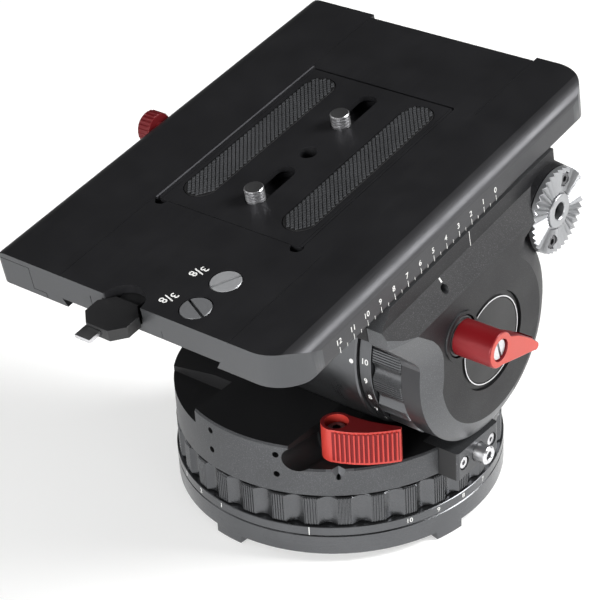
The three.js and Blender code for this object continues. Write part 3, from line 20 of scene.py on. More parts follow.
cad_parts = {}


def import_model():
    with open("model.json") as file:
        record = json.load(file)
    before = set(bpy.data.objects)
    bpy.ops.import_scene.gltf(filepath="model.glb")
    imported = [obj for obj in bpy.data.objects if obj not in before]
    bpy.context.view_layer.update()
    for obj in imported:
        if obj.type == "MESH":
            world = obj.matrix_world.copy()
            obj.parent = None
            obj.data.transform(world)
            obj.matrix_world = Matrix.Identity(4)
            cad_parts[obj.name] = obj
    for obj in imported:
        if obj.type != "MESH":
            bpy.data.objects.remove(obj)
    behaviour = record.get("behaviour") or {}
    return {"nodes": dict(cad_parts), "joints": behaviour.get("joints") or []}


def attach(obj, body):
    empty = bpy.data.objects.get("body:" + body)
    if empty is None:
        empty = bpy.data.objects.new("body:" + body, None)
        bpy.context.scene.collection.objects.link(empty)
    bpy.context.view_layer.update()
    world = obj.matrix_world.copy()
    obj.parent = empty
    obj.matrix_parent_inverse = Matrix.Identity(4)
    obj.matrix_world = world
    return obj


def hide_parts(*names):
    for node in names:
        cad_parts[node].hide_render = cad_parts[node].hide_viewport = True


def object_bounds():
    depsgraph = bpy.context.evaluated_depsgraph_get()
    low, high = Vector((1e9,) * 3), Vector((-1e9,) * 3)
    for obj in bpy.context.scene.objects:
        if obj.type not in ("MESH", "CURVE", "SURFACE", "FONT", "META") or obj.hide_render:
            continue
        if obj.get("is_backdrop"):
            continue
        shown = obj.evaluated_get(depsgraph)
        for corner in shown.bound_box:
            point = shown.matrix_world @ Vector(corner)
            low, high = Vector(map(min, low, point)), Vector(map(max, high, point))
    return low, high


LOG = logging.getLogger("fluid_head")
MM = 0.001
PRINT_THICKNESS = 0.06
Point = tuple[float, float]
Place = tuple[float, float, float]
Colour = tuple[float, float, float]


def tone(red: float, green: float, blue: float) -> Colour:
    """A colour written as it looks on a screen, from 0 to 255, as the shader's linear values."""
    shares = (channel / 255 for channel in (red, green, blue))
    return tuple(s / 12.92 if s <= 0.04045 else ((s + 0.055) / 1.055) ** 2.4 for s in shares)


class Axis(Enum):
    """The line that a profile turns about or that an outline is drawn out along."""

    X = "X"
    Y = "Y"
    Z = "Z"

    def point(self, u: float, v: float, along: float) -> Place:
        """A point of the outline's plane, at a distance along the axis."""
        if self is Axis.X:
            return (along, u, v)
        if self is Axis.Y:
            return (u, along, v)
        return (u, v, along)


@dataclass(frozen=True)
class Unit:
    """A part of the head with a level frame of its own.

    Args:
        name: Plain name, used in material names.
        height: Height of its origin above the foot.
        tilt: Turn about X from the unit's level position to the pose at rest, in degrees.
    """

    name: str
    height: float = 0.0
    tilt: float = 0.0

    def matrix(self) -> Matrix:
        """From the unit's millimetres to the row frame's metres."""
        turn = Matrix.Rotation(math.radians(self.tilt), 4, "X")
        return Matrix.Translation((0, 0, self.height * MM)) @ turn @ Matrix.Scale(MM, 4)


# shader bench


class Signal:
    """A shader socket that takes part in sums and products."""

    def __init__(self, bench: "Bench", socket: bpy.types.NodeSocket) -> None:
        """Wraps one output of a node."""
        self.bench = bench
        self.socket = socket

    def __add__(self, other: "Signal | float") -> "Signal":
        """The sum with another signal or number."""
        return self.bench.maths("ADD", self, other)

    def __mul__(self, other: "Signal | float") -> "Signal":
        """The product with another signal or number."""
        return self.bench.maths("MULTIPLY", self, other)

    def __sub__(self, other: "Signal | float") -> "Signal":
        """What is left after another signal or number is taken off."""
        return self.bench.maths("SUBTRACT", self, other)

    def __rsub__(self, other: float) -> "Signal":
        """A number less this signal."""
        return self.bench.maths("SUBTRACT", other, self)

    __radd__ = __add__
    __rmul__ = __mul__


class Bench:
    """Adds the nodes of one shader tree."""

    def __init__(self, tree: bpy.types.NodeTree) -> None:
        """Starts from an empty tree."""
        self.tree = tree
        tree.nodes.clear()

    def node(
        self,
        kind: str,
        settings: dict[str, Any] | None = None,
        inputs: dict[str | int, Any] | None = None,
    ) -> bpy.types.Node:
        """Adds one node.

        Args:
            kind: The node's type.
            settings: Its properties, set first.
            inputs: Values or signals by socket name or number.

        Returns:
            The node.
        """
        made = self.tree.nodes.new(kind)
        for name, value in (settings or {}).items():
            setattr(made, name, value)
        for name, value in (inputs or {}).items():
            socket = made.inputs[name]
            if isinstance(value, Signal):
                self.tree.links.new(value.socket, socket)
            elif isinstance(value, tuple) and socket.type == "RGBA":
                socket.default_value = (*value, 1.0)
            else:
                socket.default_value = value
        return made

    def signal(
        self, kind: str, settings: dict[str, Any], inputs: dict[str | int, Any], output: str | int = 0
    ) -> Signal:
        """Adds one node and returns one of its outputs."""
        return Signal(self, self.node(kind, settings, inputs).outputs[output])

    def maths(self, operation: str, first: Signal | float, second: Signal | float) -> Signal:
        """Adds one Math node for two signals or numbers."""
        return self.signal("ShaderNodeMath", {"operation": operation}, {0: first, 1: second})

    def vector(self, operation: str, first: Signal, second: Signal | Place) -> Signal:
        """Adds one Vector Math node."""
        return self.signal("ShaderNodeVectorMath", {"operation": operation}, {0: first, 1: second})

    def blend(self, share: Signal, low: Signal | Colour, high: Signal | Colour) -> Signal:
        """A colour that goes from one to another with a share."""
        inputs = {"Factor": share, 6: low, 7: high}
        return self.signal("ShaderNodeMix", {"data_type": "RGBA"}, inputs, 2)

    def between(
        self, value: Signal, low: float, high: float, to_low: float = 0.0, to_high: float = 1.0
    ) -> Signal:
        """Maps a range of a signal to another range and holds its ends."""
        inputs = {"Value": value, "From Min": low, "From Max": high, "To Min": to_low, "To Max": to_high}
        return self.signal("ShaderNodeMapRange", {}, inputs)

    def noise(self, where: Signal, scale: float, detail: float = 2.0) -> Signal:
        """Soft noise of a size, from 0 to 1."""
        return self.signal("ShaderNodeTexNoise", {}, {"Vector": where, "Scale": scale, "Detail": detail})


class Grain(Enum):
    """How a surface was worked, which gives the run of its fine lines."""

    PLAIN = "plain"
    ALONG_Y = "along Y"
    TURNED_X = "turned about X"
    TURNED_Z = "turned about Z"
    LOCAL_X = "faced about its own centre, looking along X"
    LOCAL_Z = "faced about its own centre, looking along Z"


PATCH_SCALE = 0.045
PATCH_EDGES = (0.3, 0.7)
PATCH_ROUGHNESS = 0.05
GRAIN_EDGES = (0.56, 0.72)
LINE_DETAIL = 3.0
LINE_ROUGHNESS = 0.16
LINE_STRETCH = 0.006


@dataclass(frozen=True)
class Finish:
    """A finish with its fine detail.

    Args:
        name: Plain name of the finish.
        colour: Base colour.
        roughness: Mean roughness.
        metallic: Share of bare metal.
        specular: Strength of the reflection under the base.
        drift: Share by which colour and roughness drift in broad patches.
        speckle: Share of light grains of sand-cast or moulded texture.
        speckle_size: Size of one grain.
        bump: Height of the texture.
        grain: Run of the fine tool lines.
        grain_size: Distance between two tool lines.
        grain_depth: Height of the tool lines.
        coat: Strength of a clear coat.
    """

    name: str
    colour: Colour
    roughness: float = 0.45
    metallic: float = 0.0
    specular: float = 0.5
    drift: float = 0.12
    speckle: float = 0.0
    speckle_size: float = 0.45
    bump: float = 0.01
    grain: Grain = Grain.PLAIN
    grain_size: float = 0.25
    grain_depth: float = 0.004
    coat: float = 0.0

    def rubbed(self, lift: float = 2.2) -> "Finish":
        """The same finish on an edge, made lighter and smoother: partly wear from use, partly a painted
        highlight along the edge.
        """
        lighter = tuple(min(1.0, c * lift + 0.012) for c in self.colour)
        smoother = max(0.2, self.roughness - 0.08)
        return replace(self, name=self.name + "_edge", colour=lighter, speckle=0.0, roughness=smoother)

    def _lines(self, bench: Bench, where: Signal) -> Signal | None:
        """The tool lines, from 0 to 1, or None for a plain surface."""
        fine = 1 / self.grain_size
        if self.grain is Grain.PLAIN:
            return None
        if self.grain is Grain.ALONG_Y:
            run = bench.vector("MULTIPLY", where, (fine, fine * LINE_STRETCH, fine))
            return bench.noise(run, 1.0, LINE_DETAIL)
        parts = bench.node("ShaderNodeSeparateXYZ", {}, {0: where})
        x, y, z = (Signal(bench, output) for output in parts.outputs)
        if self.grain in (Grain.TURNED_X, Grain.LOCAL_X):
            along, across = x, (y, z)
        else:
            along, across = z, (x, y)
        squares = across[0] * across[0] + across[1] * across[1]
        radius = bench.maths("SQRT", squares, 0.0)
        rings = bench.signal("ShaderNodeCombineXYZ", {}, {0: along * fine, 1: radius * fine, 2: 0.0})
        return bench.noise(rings, 1.0, LINE_DETAIL)

    def material(self, unit: Unit, centre: Place = (0.0, 0.0, 0.0)) -> bpy.types.Material:
        """The finish as a material in a unit's frame.

        Args:
            unit: The unit whose frame the texture follows.
            centre: Centre of the tool lines, in the unit's millimetres.

        Returns:
            The material, made once for each unit and centre.
        """
        spot = "" if centre == (0.0, 0.0, 0.0) else "_" + "_".join(f"{c:.0f}" for c in centre)
        name = f"{self.name}_{unit.name}{spot}"
        if name in bpy.data.materials:
            return bpy.data.materials[name]
        made = bpy.data.materials.new(name)
        made.use_nodes = True
        bench = Bench(made.node_tree)
        origin = unit.matrix() @ Vector(centre)
        place = bench.signal(
            "ShaderNodeMapping",
            {"vector_type": "TEXTURE"},
            {
                "Vector": bench.signal("ShaderNodeTexCoord", {}, {}, "Object"),
                "Location": tuple(origin),
                "Rotation": (math.radians(unit.tilt), 0, 0),
                "Scale": (MM, MM, MM),
            },
        )
        broad = bench.noise(place, PATCH_SCALE, 3.0)
        share = bench.between(broad, *PATCH_EDGES)
        darker = tuple(c * (1 - self.drift) for c in self.colour)
        lighter = tuple(min(1.0, c * (1 + self.drift)) for c in self.colour)
        colour = bench.blend(share, darker, lighter)
        grains = bench.noise(place, 1 / self.speckle_size, 1.5)
        height = grains * (self.bump * MM)
        smooth, coarse = self.roughness - PATCH_ROUGHNESS, self.roughness + PATCH_ROUGHNESS
        rough = bench.between(broad, *PATCH_EDGES, smooth, coarse)
        if self.speckle:
            points = bench.between(grains, *GRAIN_EDGES)
            spark = tuple(min(1.0, c * 3.2 + 0.03) for c in self.colour)
            colour = bench.blend(points * self.speckle, colour, spark)
        lines = self._lines(bench, place)
        if lines is not None:
            height = height + lines * (self.grain_depth * MM)
            rough = rough + (lines - 0.5) * LINE_ROUGHNESS
            pale = tuple(min(1.0, c * 1.35) for c in self.colour)
            colour = bench.blend(bench.between(lines, 0.5, 0.75) * 0.5, colour, pale)
        bump = bench.signal("ShaderNodeBump", {}, {"Height": height, "Distance": 1.0, "Strength": 1.0})
        inputs = {
            "Base Color": colour,
            "Metallic": self.metallic,
            "Roughness": rough,
            "Specular IOR Level": self.specular,
            "Normal": bump,
            "Coat Weight": self.coat,
            "Coat Roughness": 0.15,
        }
        shader = bench.signal("ShaderNodeBsdfPrincipled", {}, inputs)
        bench.node("ShaderNodeOutputMaterial", {}, {"Surface": shader})
        return made


DECK_BLACK = Finish(
    "deck_black", tone(44, 44, 46), 0.42, 0.6, 0.3, 0.08, 0.0, grain=Grain.ALONG_Y, bump=0.002
)
# Painted highlight: a lighter copy of the deck's black, put on the rounded right edge where the light falls.
NOSE_HIGHLIGHT_BLACK = Finish(
    "nose_highlight_black", tone(66, 66, 68), 0.48, 0.7, 0.4, 0.06, 0.0, grain=Grain.ALONG_Y, bump=0.002
)
TOP_BLACK = Finish("top_black", tone(22, 22, 23), 0.6, 0.0, 0.2, 0.1, 0.05, 0.35, bump=0.006)
SIDE_BLACK = Finish(
    "side_black", tone(50, 50, 52), 0.4, 0.5, 0.4, 0.08, 0.15, 0.3, grain=Grain.ALONG_Y, bump=0.004
)
# Painted light: a lighter copy of the platform's black for its end faces and round corners, which face the
# front light.
END_LIT_GREY = Finish("end_lit_grey", tone(68, 69, 71), 0.4, 0.55, 0.5, 0.05, 0.05, 0.3, bump=0.003)
CAST_GREY = Finish("cast_grey", tone(66, 67, 69), 0.4, 0.6, 0.5, 0.1, 0.4, 0.4, bump=0.02)
CAST_BLACK = Finish("cast_black", tone(18, 18, 20), 0.5, 0.15, 0.3, 0.1, 0.7, 0.45, bump=0.024)
# Partly the chamfer's own lighter paint, partly painted light: it is lighter where it faces the front light.
CHAMFER_PAINT_AND_HIGHLIGHT = Finish("chamfer_grey", tone(76, 77, 79), 0.4, 0.6, 0.5, 0.06, 0.3, 0.35, bump=0.012)
DRUM_GREY = Finish(
    "drum_grey", tone(88, 89, 91), 0.3, 0.9, 0.5, 0.06, grain=Grain.TURNED_X, grain_depth=0.008
)
RING_GREY = Finish(
    "ring_grey", tone(84, 85, 87), 0.27, 0.9, 0.5, 0.06, grain=Grain.TURNED_Z, grain_depth=0.008
)
BAND_BLACK = Finish(
    "band_black", tone(50, 50, 52), 0.36, 0.6, 0.4, 0.06, grain=Grain.TURNED_X, grain_depth=0.006
)
MOULDED_BLACK = Finish("moulded_black", tone(24, 24, 25), 0.5, 0.0, 0.4, 0.1, 0.06, 0.35, bump=0.008)
DARK_STEEL = Finish("dark_steel", tone(84, 84, 86), 0.35, 0.9, grain=Grain.PLAIN)
BRIGHT_STEEL = Finish(
    "bright_steel", tone(190, 190, 192), 0.34, 1.0, drift=0.05, bump=0.002, grain=Grain.LOCAL_Z
)
TURNED_STEEL = Finish(
    "turned_steel", tone(196, 196, 198), 0.32, 1.0, drift=0.05, bump=0.002, grain=Grain.LOCAL_X
)
PLATED_STEEL = Finish(
    "plated_steel", tone(150, 151, 153), 0.4, 0.4, drift=0.05, bump=0.003, grain=Grain.LOCAL_Z
)
AGED_STEEL = Finish(
    "aged_steel", tone(108, 109, 111), 0.42, 0.4, drift=0.05, bump=0.003, grain=Grain.LOCAL_Z
)
ROSETTE_METAL = Finish(
    "rosette_metal", tone(150, 151, 153), 0.36, 0.85, drift=0.05, bump=0.003, grain=Grain.LOCAL_X
)
LEVER_RED = Finish("lever_red", tone(170, 50, 42), 0.42, 0.1, 0.5, 0.06, 0.05, 0.3, bump=0.006)
# Painted shade: a darker copy of the lever's red for its top, which faces away from the light, and for the
# strip between the ribs.
LEVER_SHADE_RED = Finish("lever_shade_red", tone(104, 12, 15), 0.5, 0.1, 0.3, 0.06, 0.05, 0.3, bump=0.006)
KNOB_RED = Finish("knob_red", tone(112, 14, 20), 0.38, 0.25, 0.4, 0.06, 0.04, 0.3, bump=0.005)
# Painted light: a lighter copy of the knob's red for its end face, which faces the light.
KNOB_LIT_FACE = Finish("knob_lit_face", tone(172, 56, 44), 0.42, 0.05, 0.5, 0.06, 0.04, 0.3, bump=0.005)
LOCK_RED = Finish("lock_red", tone(96, 16, 21), 0.45, 0.2, 0.4, 0.06, 0.04, 0.3, bump=0.005)
PAD_RUBBER = Finish("pad_rubber", tone(18, 18, 19), 0.62, 0.0, 0.3, 0.12, 0.1, 0.3, bump=0.01)
PAD_TOP = Finish("pad_top", tone(44, 45, 47), 0.55, 0.0, 0.4, 0.1, 0.1, 0.3, bump=0.006)
PRINT_WHITE = Finish("print_white", tone(208, 208, 206), 0.55, 0.0, 0.3, 0.04, bump=0.001)
CARTRIDGE_BRASS = Finish("cartridge_brass", tone(190, 154, 88), 0.32, 1.0, grain=Grain.TURNED_Z)
VIAL_GREEN = Finish("vial_green", tone(150, 196, 60), 0.12, 0.0, 0.6, 0.1, coat=1.0)


# mesh tools


def evaluated(data: bpy.types.ID, prepare: Callable[[bpy.types.Object], Any] | None = None) -> bpy.types.Mesh:
    """The mesh of a short-lived object.

    Args:
        data: A mesh, or text that is filled in.
        prepare: Adds the object's modifiers.

    Returns:
        The mesh after the modifiers.
    """
    holder = bpy.data.objects.new("holder", data)
    bpy.context.scene.collection.objects.link(holder)
    if prepare:
        prepare(holder)
    graph = bpy.context.evaluated_depsgraph_get()
    mesh = bpy.data.meshes.new_from_object(holder.evaluated_get(graph), depsgraph=graph)
    bpy.data.objects.remove(holder)
    return mesh


class Solid:
    """A closed mesh in millimetres, in the frame of its unit."""

    def __init__(self, mesh: bpy.types.Mesh) -> None:
        """Holds one mesh."""
        self.mesh = mesh

    @classmethod
    def from_faces(cls, points: Sequence[Place], faces: Sequence[Sequence[int]]) -> "Solid":
        """A solid from its corners and faces, turned outwards."""
        mesh = bpy.data.meshes.new("solid")
        mesh.from_pydata([tuple(p) for p in points], [], [tuple(f) for f in faces])
        return cls(mesh).edit(lambda bm: bmesh.ops.recalc_face_normals(bm, faces=bm.faces))

    @classmethod
    def strip(cls, points: Sequence[Place], count: int) -> "Solid":
        """Closed rows of a count of points each, joined in order and open at both ends."""
        faces = []
        for start in range(0, len(points) - count, count):
            for k in range(count):
                n = (k + 1) % count
                faces.append((start + k, start + n, start + count + n, start + count + k))
        return cls.from_faces(points, faces)

    @classmethod
    def prism(cls, outline: Sequence[Point], low: float, high: float, axis: Axis) -> "Solid":
        """An outline drawn out along an axis."""
        count = len(outline)
        points = [axis.point(u, v, along) for along in (low, high) for u, v in outline]
        faces = [tuple(range(count)), tuple(range(2 * count - 1, count - 1, -1))]
        faces += [(i, (i + 1) % count, count + (i + 1) % count, count + i) for i in range(count)]
        return cls.from_faces(points, faces)

    @classmethod
    def loft(cls, rows: Sequence[tuple[float, Sequence[Point]]], axis: Axis) -> "Solid":
        """Outlines with the same count of points, each at its place along an axis, joined in order."""
        count = len(rows[0][1])
        points = [axis.point(u, v, along) for along, outline in rows for u, v in outline]
        last = len(points) - count
        faces = [tuple(range(count)), tuple(range(last + count - 1, last - 1, -1))]
        for start in range(0, last, count):
            for i in range(count):
                n = (i + 1) % count
                a, b, c, d = start + i, start + n, start + count + n, start + count + i
                faces += [(a, b, c), (a, c, d)]
        return cls.from_faces(points, faces)

    @classmethod
    def block(cls, low: Place, high: Place) -> "Solid":
        """A block between two corners."""
        outline = [(low[0], low[1]), (high[0], low[1]), (high[0], high[1]), (low[0], high[1])]
        return cls.prism(outline, low[2], high[2], Axis.Z)

    @classmethod
    def lathe(cls, profile: Sequence[Point], axis: Axis, centre: Point = (0, 0), steps: int = 144) -> "Solid":
        """A profile of (radius, height along the axis) points turned about an axis.

        Args:
            profile: Its points, from pole to pole, or a closed loop whose last point repeats the first.
            axis: The axis's direction.
            centre: Where the axis stands in the plane across it.
            steps: Faces round the circle.

        Returns:
            The closed solid.
        """
        loop = profile[0] == profile[-1]
        rows = list(profile[:-1]) if loop else list(profile)
        points: list[Place] = []
        starts: list[tuple[int, bool]] = []
        for radius, height in rows:
            pole = radius < 1e-6
            starts.append((len(points), pole))
            for i in range(1 if pole else steps):
                turn = 2 * math.pi * i / steps
                u = centre[0] + radius * math.cos(turn)
                v = centre[1] + radius * math.sin(turn)
                points.append(axis.point(u, v, height))
        faces: list[tuple[int, ...]] = []
        pairs = list(zip(starts, starts[1:] + starts[:1])) if loop else list(zip(starts, starts[1:]))
        for (a, a_pole), (b, b_pole) in pairs:
            for i in range(steps):
                n = (i + 1) % steps
                corners = [a] if a_pole else [a + i, a + n]
                corners += [b] if b_pole else [b + n, b + i]
                if len(corners) > 2:
                    faces.append(tuple(corners))
        return cls.from_faces(points, faces)

    @classmethod
    def rod(
        cls, radius: float, low: float, high: float, axis: Axis, centre: Point = (0, 0), steps: int = 64
    ) -> "Solid":
        """A plain round rod along an axis."""
        return cls.lathe([(0, low), (radius, low), (radius, high), (0, high)], axis, centre, steps)

    def edit(self, work: Callable[[bmesh.types.BMesh], Any]) -> "Solid":
        """Runs one piece of bmesh work on the mesh."""
        bm = bmesh.new()
        bm.from_mesh(self.mesh)
        work(bm)
        bm.to_mesh(self.mesh)
        bm.free()
        return self

    def copy(self) -> "Solid":
        """A copy with a mesh of its own."""
        return Solid(self.mesh.copy())

    def moved(self, matrix: Matrix) -> "Solid":
        """A copy moved by a matrix. A mirror turns its faces back outwards."""
        made = self.copy()
        made.mesh.transform(matrix)
        if matrix.determinant() < 0:
            made.mesh.flip_normals()
        return made

    def on_side(self, side: int) -> "Solid":
        """This solid for side 1, or its mirror image across the YZ plane for side -1."""
        return self if side > 0 else self.moved(Matrix.Scale(-1, 4, (1, 0, 0)))

    def modified(self, kind: str, settings: dict[str, Any]) -> "Solid":
        """The mesh after one modifier."""

        def prepare(holder: bpy.types.Object) -> None:
            modifier = holder.modifiers.new("work", kind)
            for name, value in settings.items():
                setattr(modifier, name, value)

        return Solid(evaluated(self.mesh, prepare))

    def _combined(self, others: Sequence["Solid"], operation: str) -> "Solid":
        """This solid after a boolean with each of the others in turn."""
        made = self
        for other in others:
            tool = bpy.data.objects.new("tool", other.mesh)
            bpy.context.scene.collection.objects.link(tool)
            made = made.modified("BOOLEAN", {"object": tool, "operation": operation, "solver": "MANIFOLD"})
            bpy.data.objects.remove(tool)
        return made

    def cut(self, *others: "Solid") -> "Solid":
        """This solid without the others."""
        return self._combined(others, "DIFFERENCE")

    def join(self, *others: "Solid") -> "Solid":
        """This solid with the others."""
        return self._combined(others, "UNION")

    def meet(self, *others: "Solid") -> "Solid":
        """What this solid and the others share."""
        return self._combined(others, "INTERSECT")

    def beside(self, *others: "Solid") -> "Solid":
        """This solid and others that don't touch it, in one mesh."""
        bm = bmesh.new()
        for solid in (self, *others):
            bm.from_mesh(solid.mesh)
        mesh = bpy.data.meshes.new("solid")
        bm.to_mesh(mesh)
        bm.free()
        return Solid(mesh)

    @staticmethod
    def group(solids: Sequence["Solid"]) -> "Solid":
        """Solids that don't touch each other, in one mesh."""
        return solids[0].beside(*solids[1:])

    def tidy(self) -> "Solid":
        """Merges doubles and flat neighbours after booleans."""

        def work(bm: bmesh.types.BMesh) -> None:
            bmesh.ops.remove_doubles(bm, verts=bm.verts, dist=0.002)
            bmesh.ops.dissolve_limit(bm, angle_limit=math.radians(0.4), verts=bm.verts, edges=bm.edges)

        return self.edit(work)

    def bevelled(self, width: float, segments: int = 2, angle: float = 32.0, slot: int = -1) -> "Solid":
        """Rounds the sharp edges.

        Args:
            width: Width of the rounding.
            segments: Faces across it.
            angle: Least angle between faces of an edge that is rounded, in degrees.
            slot: Material slot of the rounding, or -1 for that of its neighbours.

        Returns:
            The rounded solid.
        """
        settings = {
            "width": width,
            "segments": segments,
            "limit_method": "ANGLE",
            "angle_limit": math.radians(angle),
            "use_clamp_overlap": True,
            "miter_outer": "MITER_ARC",
            "material": slot,
        }
        return self.modified("BEVEL", settings)


def placed(place: Place, degrees: float = 0.0, axis: str = "Z") -> Matrix:
    """A turn about an axis through the origin, in degrees, and then a shift."""
    return Matrix.Translation(place) @ Matrix.Rotation(math.radians(degrees), 4, axis)


def polar(radius: float, degrees: float, centre: Point = (0.0, 0.0)) -> Point:
    """The point at a distance and an angle from a centre."""
    turn = math.radians(degrees)
    return (centre[0] + radius * math.cos(turn), centre[1] + radius * math.sin(turn))


def star(count: int, radii: Sequence[float], centre: Point = (0.0, 0.0)) -> list[Point]:
    """Corners spread evenly round a centre, at each of the radii in turn."""
    return [polar(radii[k % len(radii)], 360 * k / count, centre) for k in range(count)]


def band(bore: float, radius: float, low: float, high: float, first: float, last: float) -> list[Point]:
    """The closed profile of a ring whose outer edges are cut back at its low and high end."""
    outer = [(radius - first, low), (radius, low + first), (radius, high - last), (radius - last, high)]
    return [(bore, low), *outer, (bore, high), (bore, low)]


def head_profile(radius: float, low: float, top: float, edge: float) -> list[Point]:
    """The profile of a round solid, such as a screw's head, whose top edge is cut back."""
    return [(0, low), (radius, low), (radius, top - edge), (radius - edge, top), (0, top)]


def raised(profile: Sequence[Point], base: float) -> list[Point]:
    """A profile of (radius, height) points whose heights are counted from a base."""
    return [(radius, base + height) for radius, height in profile]


def arc(
    centre: Point, radius: float, start: float, end: float, steps: int = 12, squash: float = 1.0
) -> list[Point]:
    """Points on an arc, with angles in degrees; squash scales its second direction."""
    turns = [math.radians(start + (end - start) * i / steps) for i in range(steps + 1)]
    return [(centre[0] + radius * math.cos(t), centre[1] + radius * squash * math.sin(t)) for t in turns]


def rounded(corners: Sequence[tuple[float, float, float]], steps: int = 8) -> list[Point]:
    """An outline whose corners, given as (u, v, radius), are rounded."""
    points: list[Point] = []
    count = len(corners)
    for i, (u, v, radius) in enumerate(corners):
        here = Vector((u, v))
        back = (Vector(corners[i - 1][:2]) - here).normalized()
        ahead = (Vector(corners[(i + 1) % count][:2]) - here).normalized()
        half = back.angle(ahead) / 2
        reach = radius / math.tan(half)
        first, last = here + back * reach, here + ahead * reach
        middle = here + (back + ahead).normalized() * (radius / math.sin(half))
        a, b = first - middle, last - middle
        sweep = math.atan2(a.x * b.y - a.y * b.x, a.dot(b))
        for k in range(steps + 1):
            turn = sweep * k / steps
            c, s = math.cos(turn), math.sin(turn)
            points.append((middle.x + a.x * c - a.y * s, middle.y + a.x * s + a.y * c))
    return points


def stadium(half_width: float, start: float, end: float, centre: float = 0.0, steps: int = 16) -> list[Point]:
    """A slot's outline along V with round ends."""
    low = arc((centre, start + half_width), half_width, 180, 360, steps)
    return low + arc((centre, end - half_width), half_width, 0, 180, steps)


def lettering(text: str, size: float, bold: float) -> Solid:
    """Text as a thin print, centred in the XY plane, with its face towards +Z."""
    curve = bpy.data.curves.new("print", "FONT")
    curve.body = text
    curve.size = size
    curve.align_x = "CENTER"
    curve.align_y = "CENTER"
    curve.extrude = PRINT_THICKNESS / 2
    curve.offset = bold
    curve.resolution_u = 4
    made = Solid(evaluated(curve))
    return made.edit(lambda bm: bmesh.ops.remove_doubles(bm, verts=bm.verts, dist=0.0005))


class Repeater:
    """A Geometry Nodes tree that lays out turned or shifted copies of a mesh."""

    SIZES = (
        ("Count", "NodeSocketInt"),
        ("Shift", "NodeSocketVector"),
        ("Turn", "NodeSocketVector"),
        ("First shift", "NodeSocketVector"),
        ("First turn", "NodeSocketVector"),
        ("Weld", "NodeSocketFloat"),
        ("Finish", "NodeSocketMaterial"),
    )

    def __init__(self) -> None:
        """Builds the tree."""
        self.tree = bpy.data.node_groups.new("repeats", "GeometryNodeTree")
        face = self.tree.interface
        face.new_socket(name="Geometry", in_out="INPUT", socket_type="NodeSocketGeometry")
        self.sockets = {
            name: face.new_socket(name=name, in_out="INPUT", socket_type=kind) for name, kind in self.SIZES
        }
        face.new_socket(name="Geometry", in_out="OUTPUT", socket_type="NodeSocketGeometry")
        given = self.tree.nodes.new("NodeGroupInput").outputs
        index = self._node("GeometryNodeInputIndex", {}).outputs[0]
        turn = self._step(index, given["Turn"], given["First turn"])
        shift = self._step(index, given["Shift"], given["First shift"])
        points = self._node("GeometryNodePoints", {"Count": given["Count"], "Position": shift})
        rotation = self._node("FunctionNodeEulerToRotation", {"Euler": turn})
        copies = self._node(
            "GeometryNodeInstanceOnPoints",
            {"Points": points.outputs[0], "Instance": given["Geometry"], "Rotation": rotation.outputs[0]},
        )
        real = self._node("GeometryNodeRealizeInstances", {"Geometry": copies.outputs[0]})
        links = {"Geometry": real.outputs[0], "Distance": given["Weld"]}
        welded = self._node("GeometryNodeMergeByDistance", links)
        links = {"Geometry": welded.outputs[0], "Material": given["Finish"]}
        dressed = self._node("GeometryNodeSetMaterial", links)
        out = self.tree.nodes.new("NodeGroupOutput")
        self.tree.links.new(dressed.outputs[0], out.inputs[0])

    def _node(
        self, kind: str, links: dict[str | int, bpy.types.NodeSocket], **settings: Any
    ) -> bpy.types.Node:
        """Adds one node, sets its properties and links its inputs."""
        made = self.tree.nodes.new(kind)
        for name, value in settings.items():
            setattr(made, name, value)
        for name, socket in links.items():
            self.tree.links.new(socket, made.inputs[name])
        return made

    def _step(self, *sockets: bpy.types.NodeSocket) -> bpy.types.NodeSocket:
        """The index times a step, plus the first value, for sockets given in that order."""
        links = dict(enumerate(sockets))
        return self._node("ShaderNodeVectorMath", links, operation="MULTIPLY_ADD").outputs[0]

    def repeat(self, solid: Solid, finish: bpy.types.Material | None, **sizes: Any) -> Solid:
        """Lays out copies of a solid.

        Args:
            solid: What is repeated, at its own place.
            finish: The material of the copies.
            sizes: The tree's inputs by name, in lower case with underscores. Turns are in degrees.

        Returns:
            The copies as one plain mesh.
        """
        values = dict.fromkeys(("shift", "turn", "first_shift", "first_turn"), (0, 0, 0))
        values |= {"count": 1, "weld": 0.001, "finish": finish} | sizes

        def prepare(holder: bpy.types.Object) -> None:
            modifier = holder.modifiers.new("repeats", "NODES")
            modifier.node_group = self.tree
            for name, socket in self.sockets.items():
                value = values[name.lower().replace(" ", "_")]
                if "turn" in name.lower():
                    value = tuple(math.radians(v) for v in value)
                if isinstance(value, tuple):
                    value = tuple(float(v) for v in value)
                modifier[socket.identifier] = value

        return Solid(evaluated(solid.mesh, prepare))


# shared base of the sub-assemblies


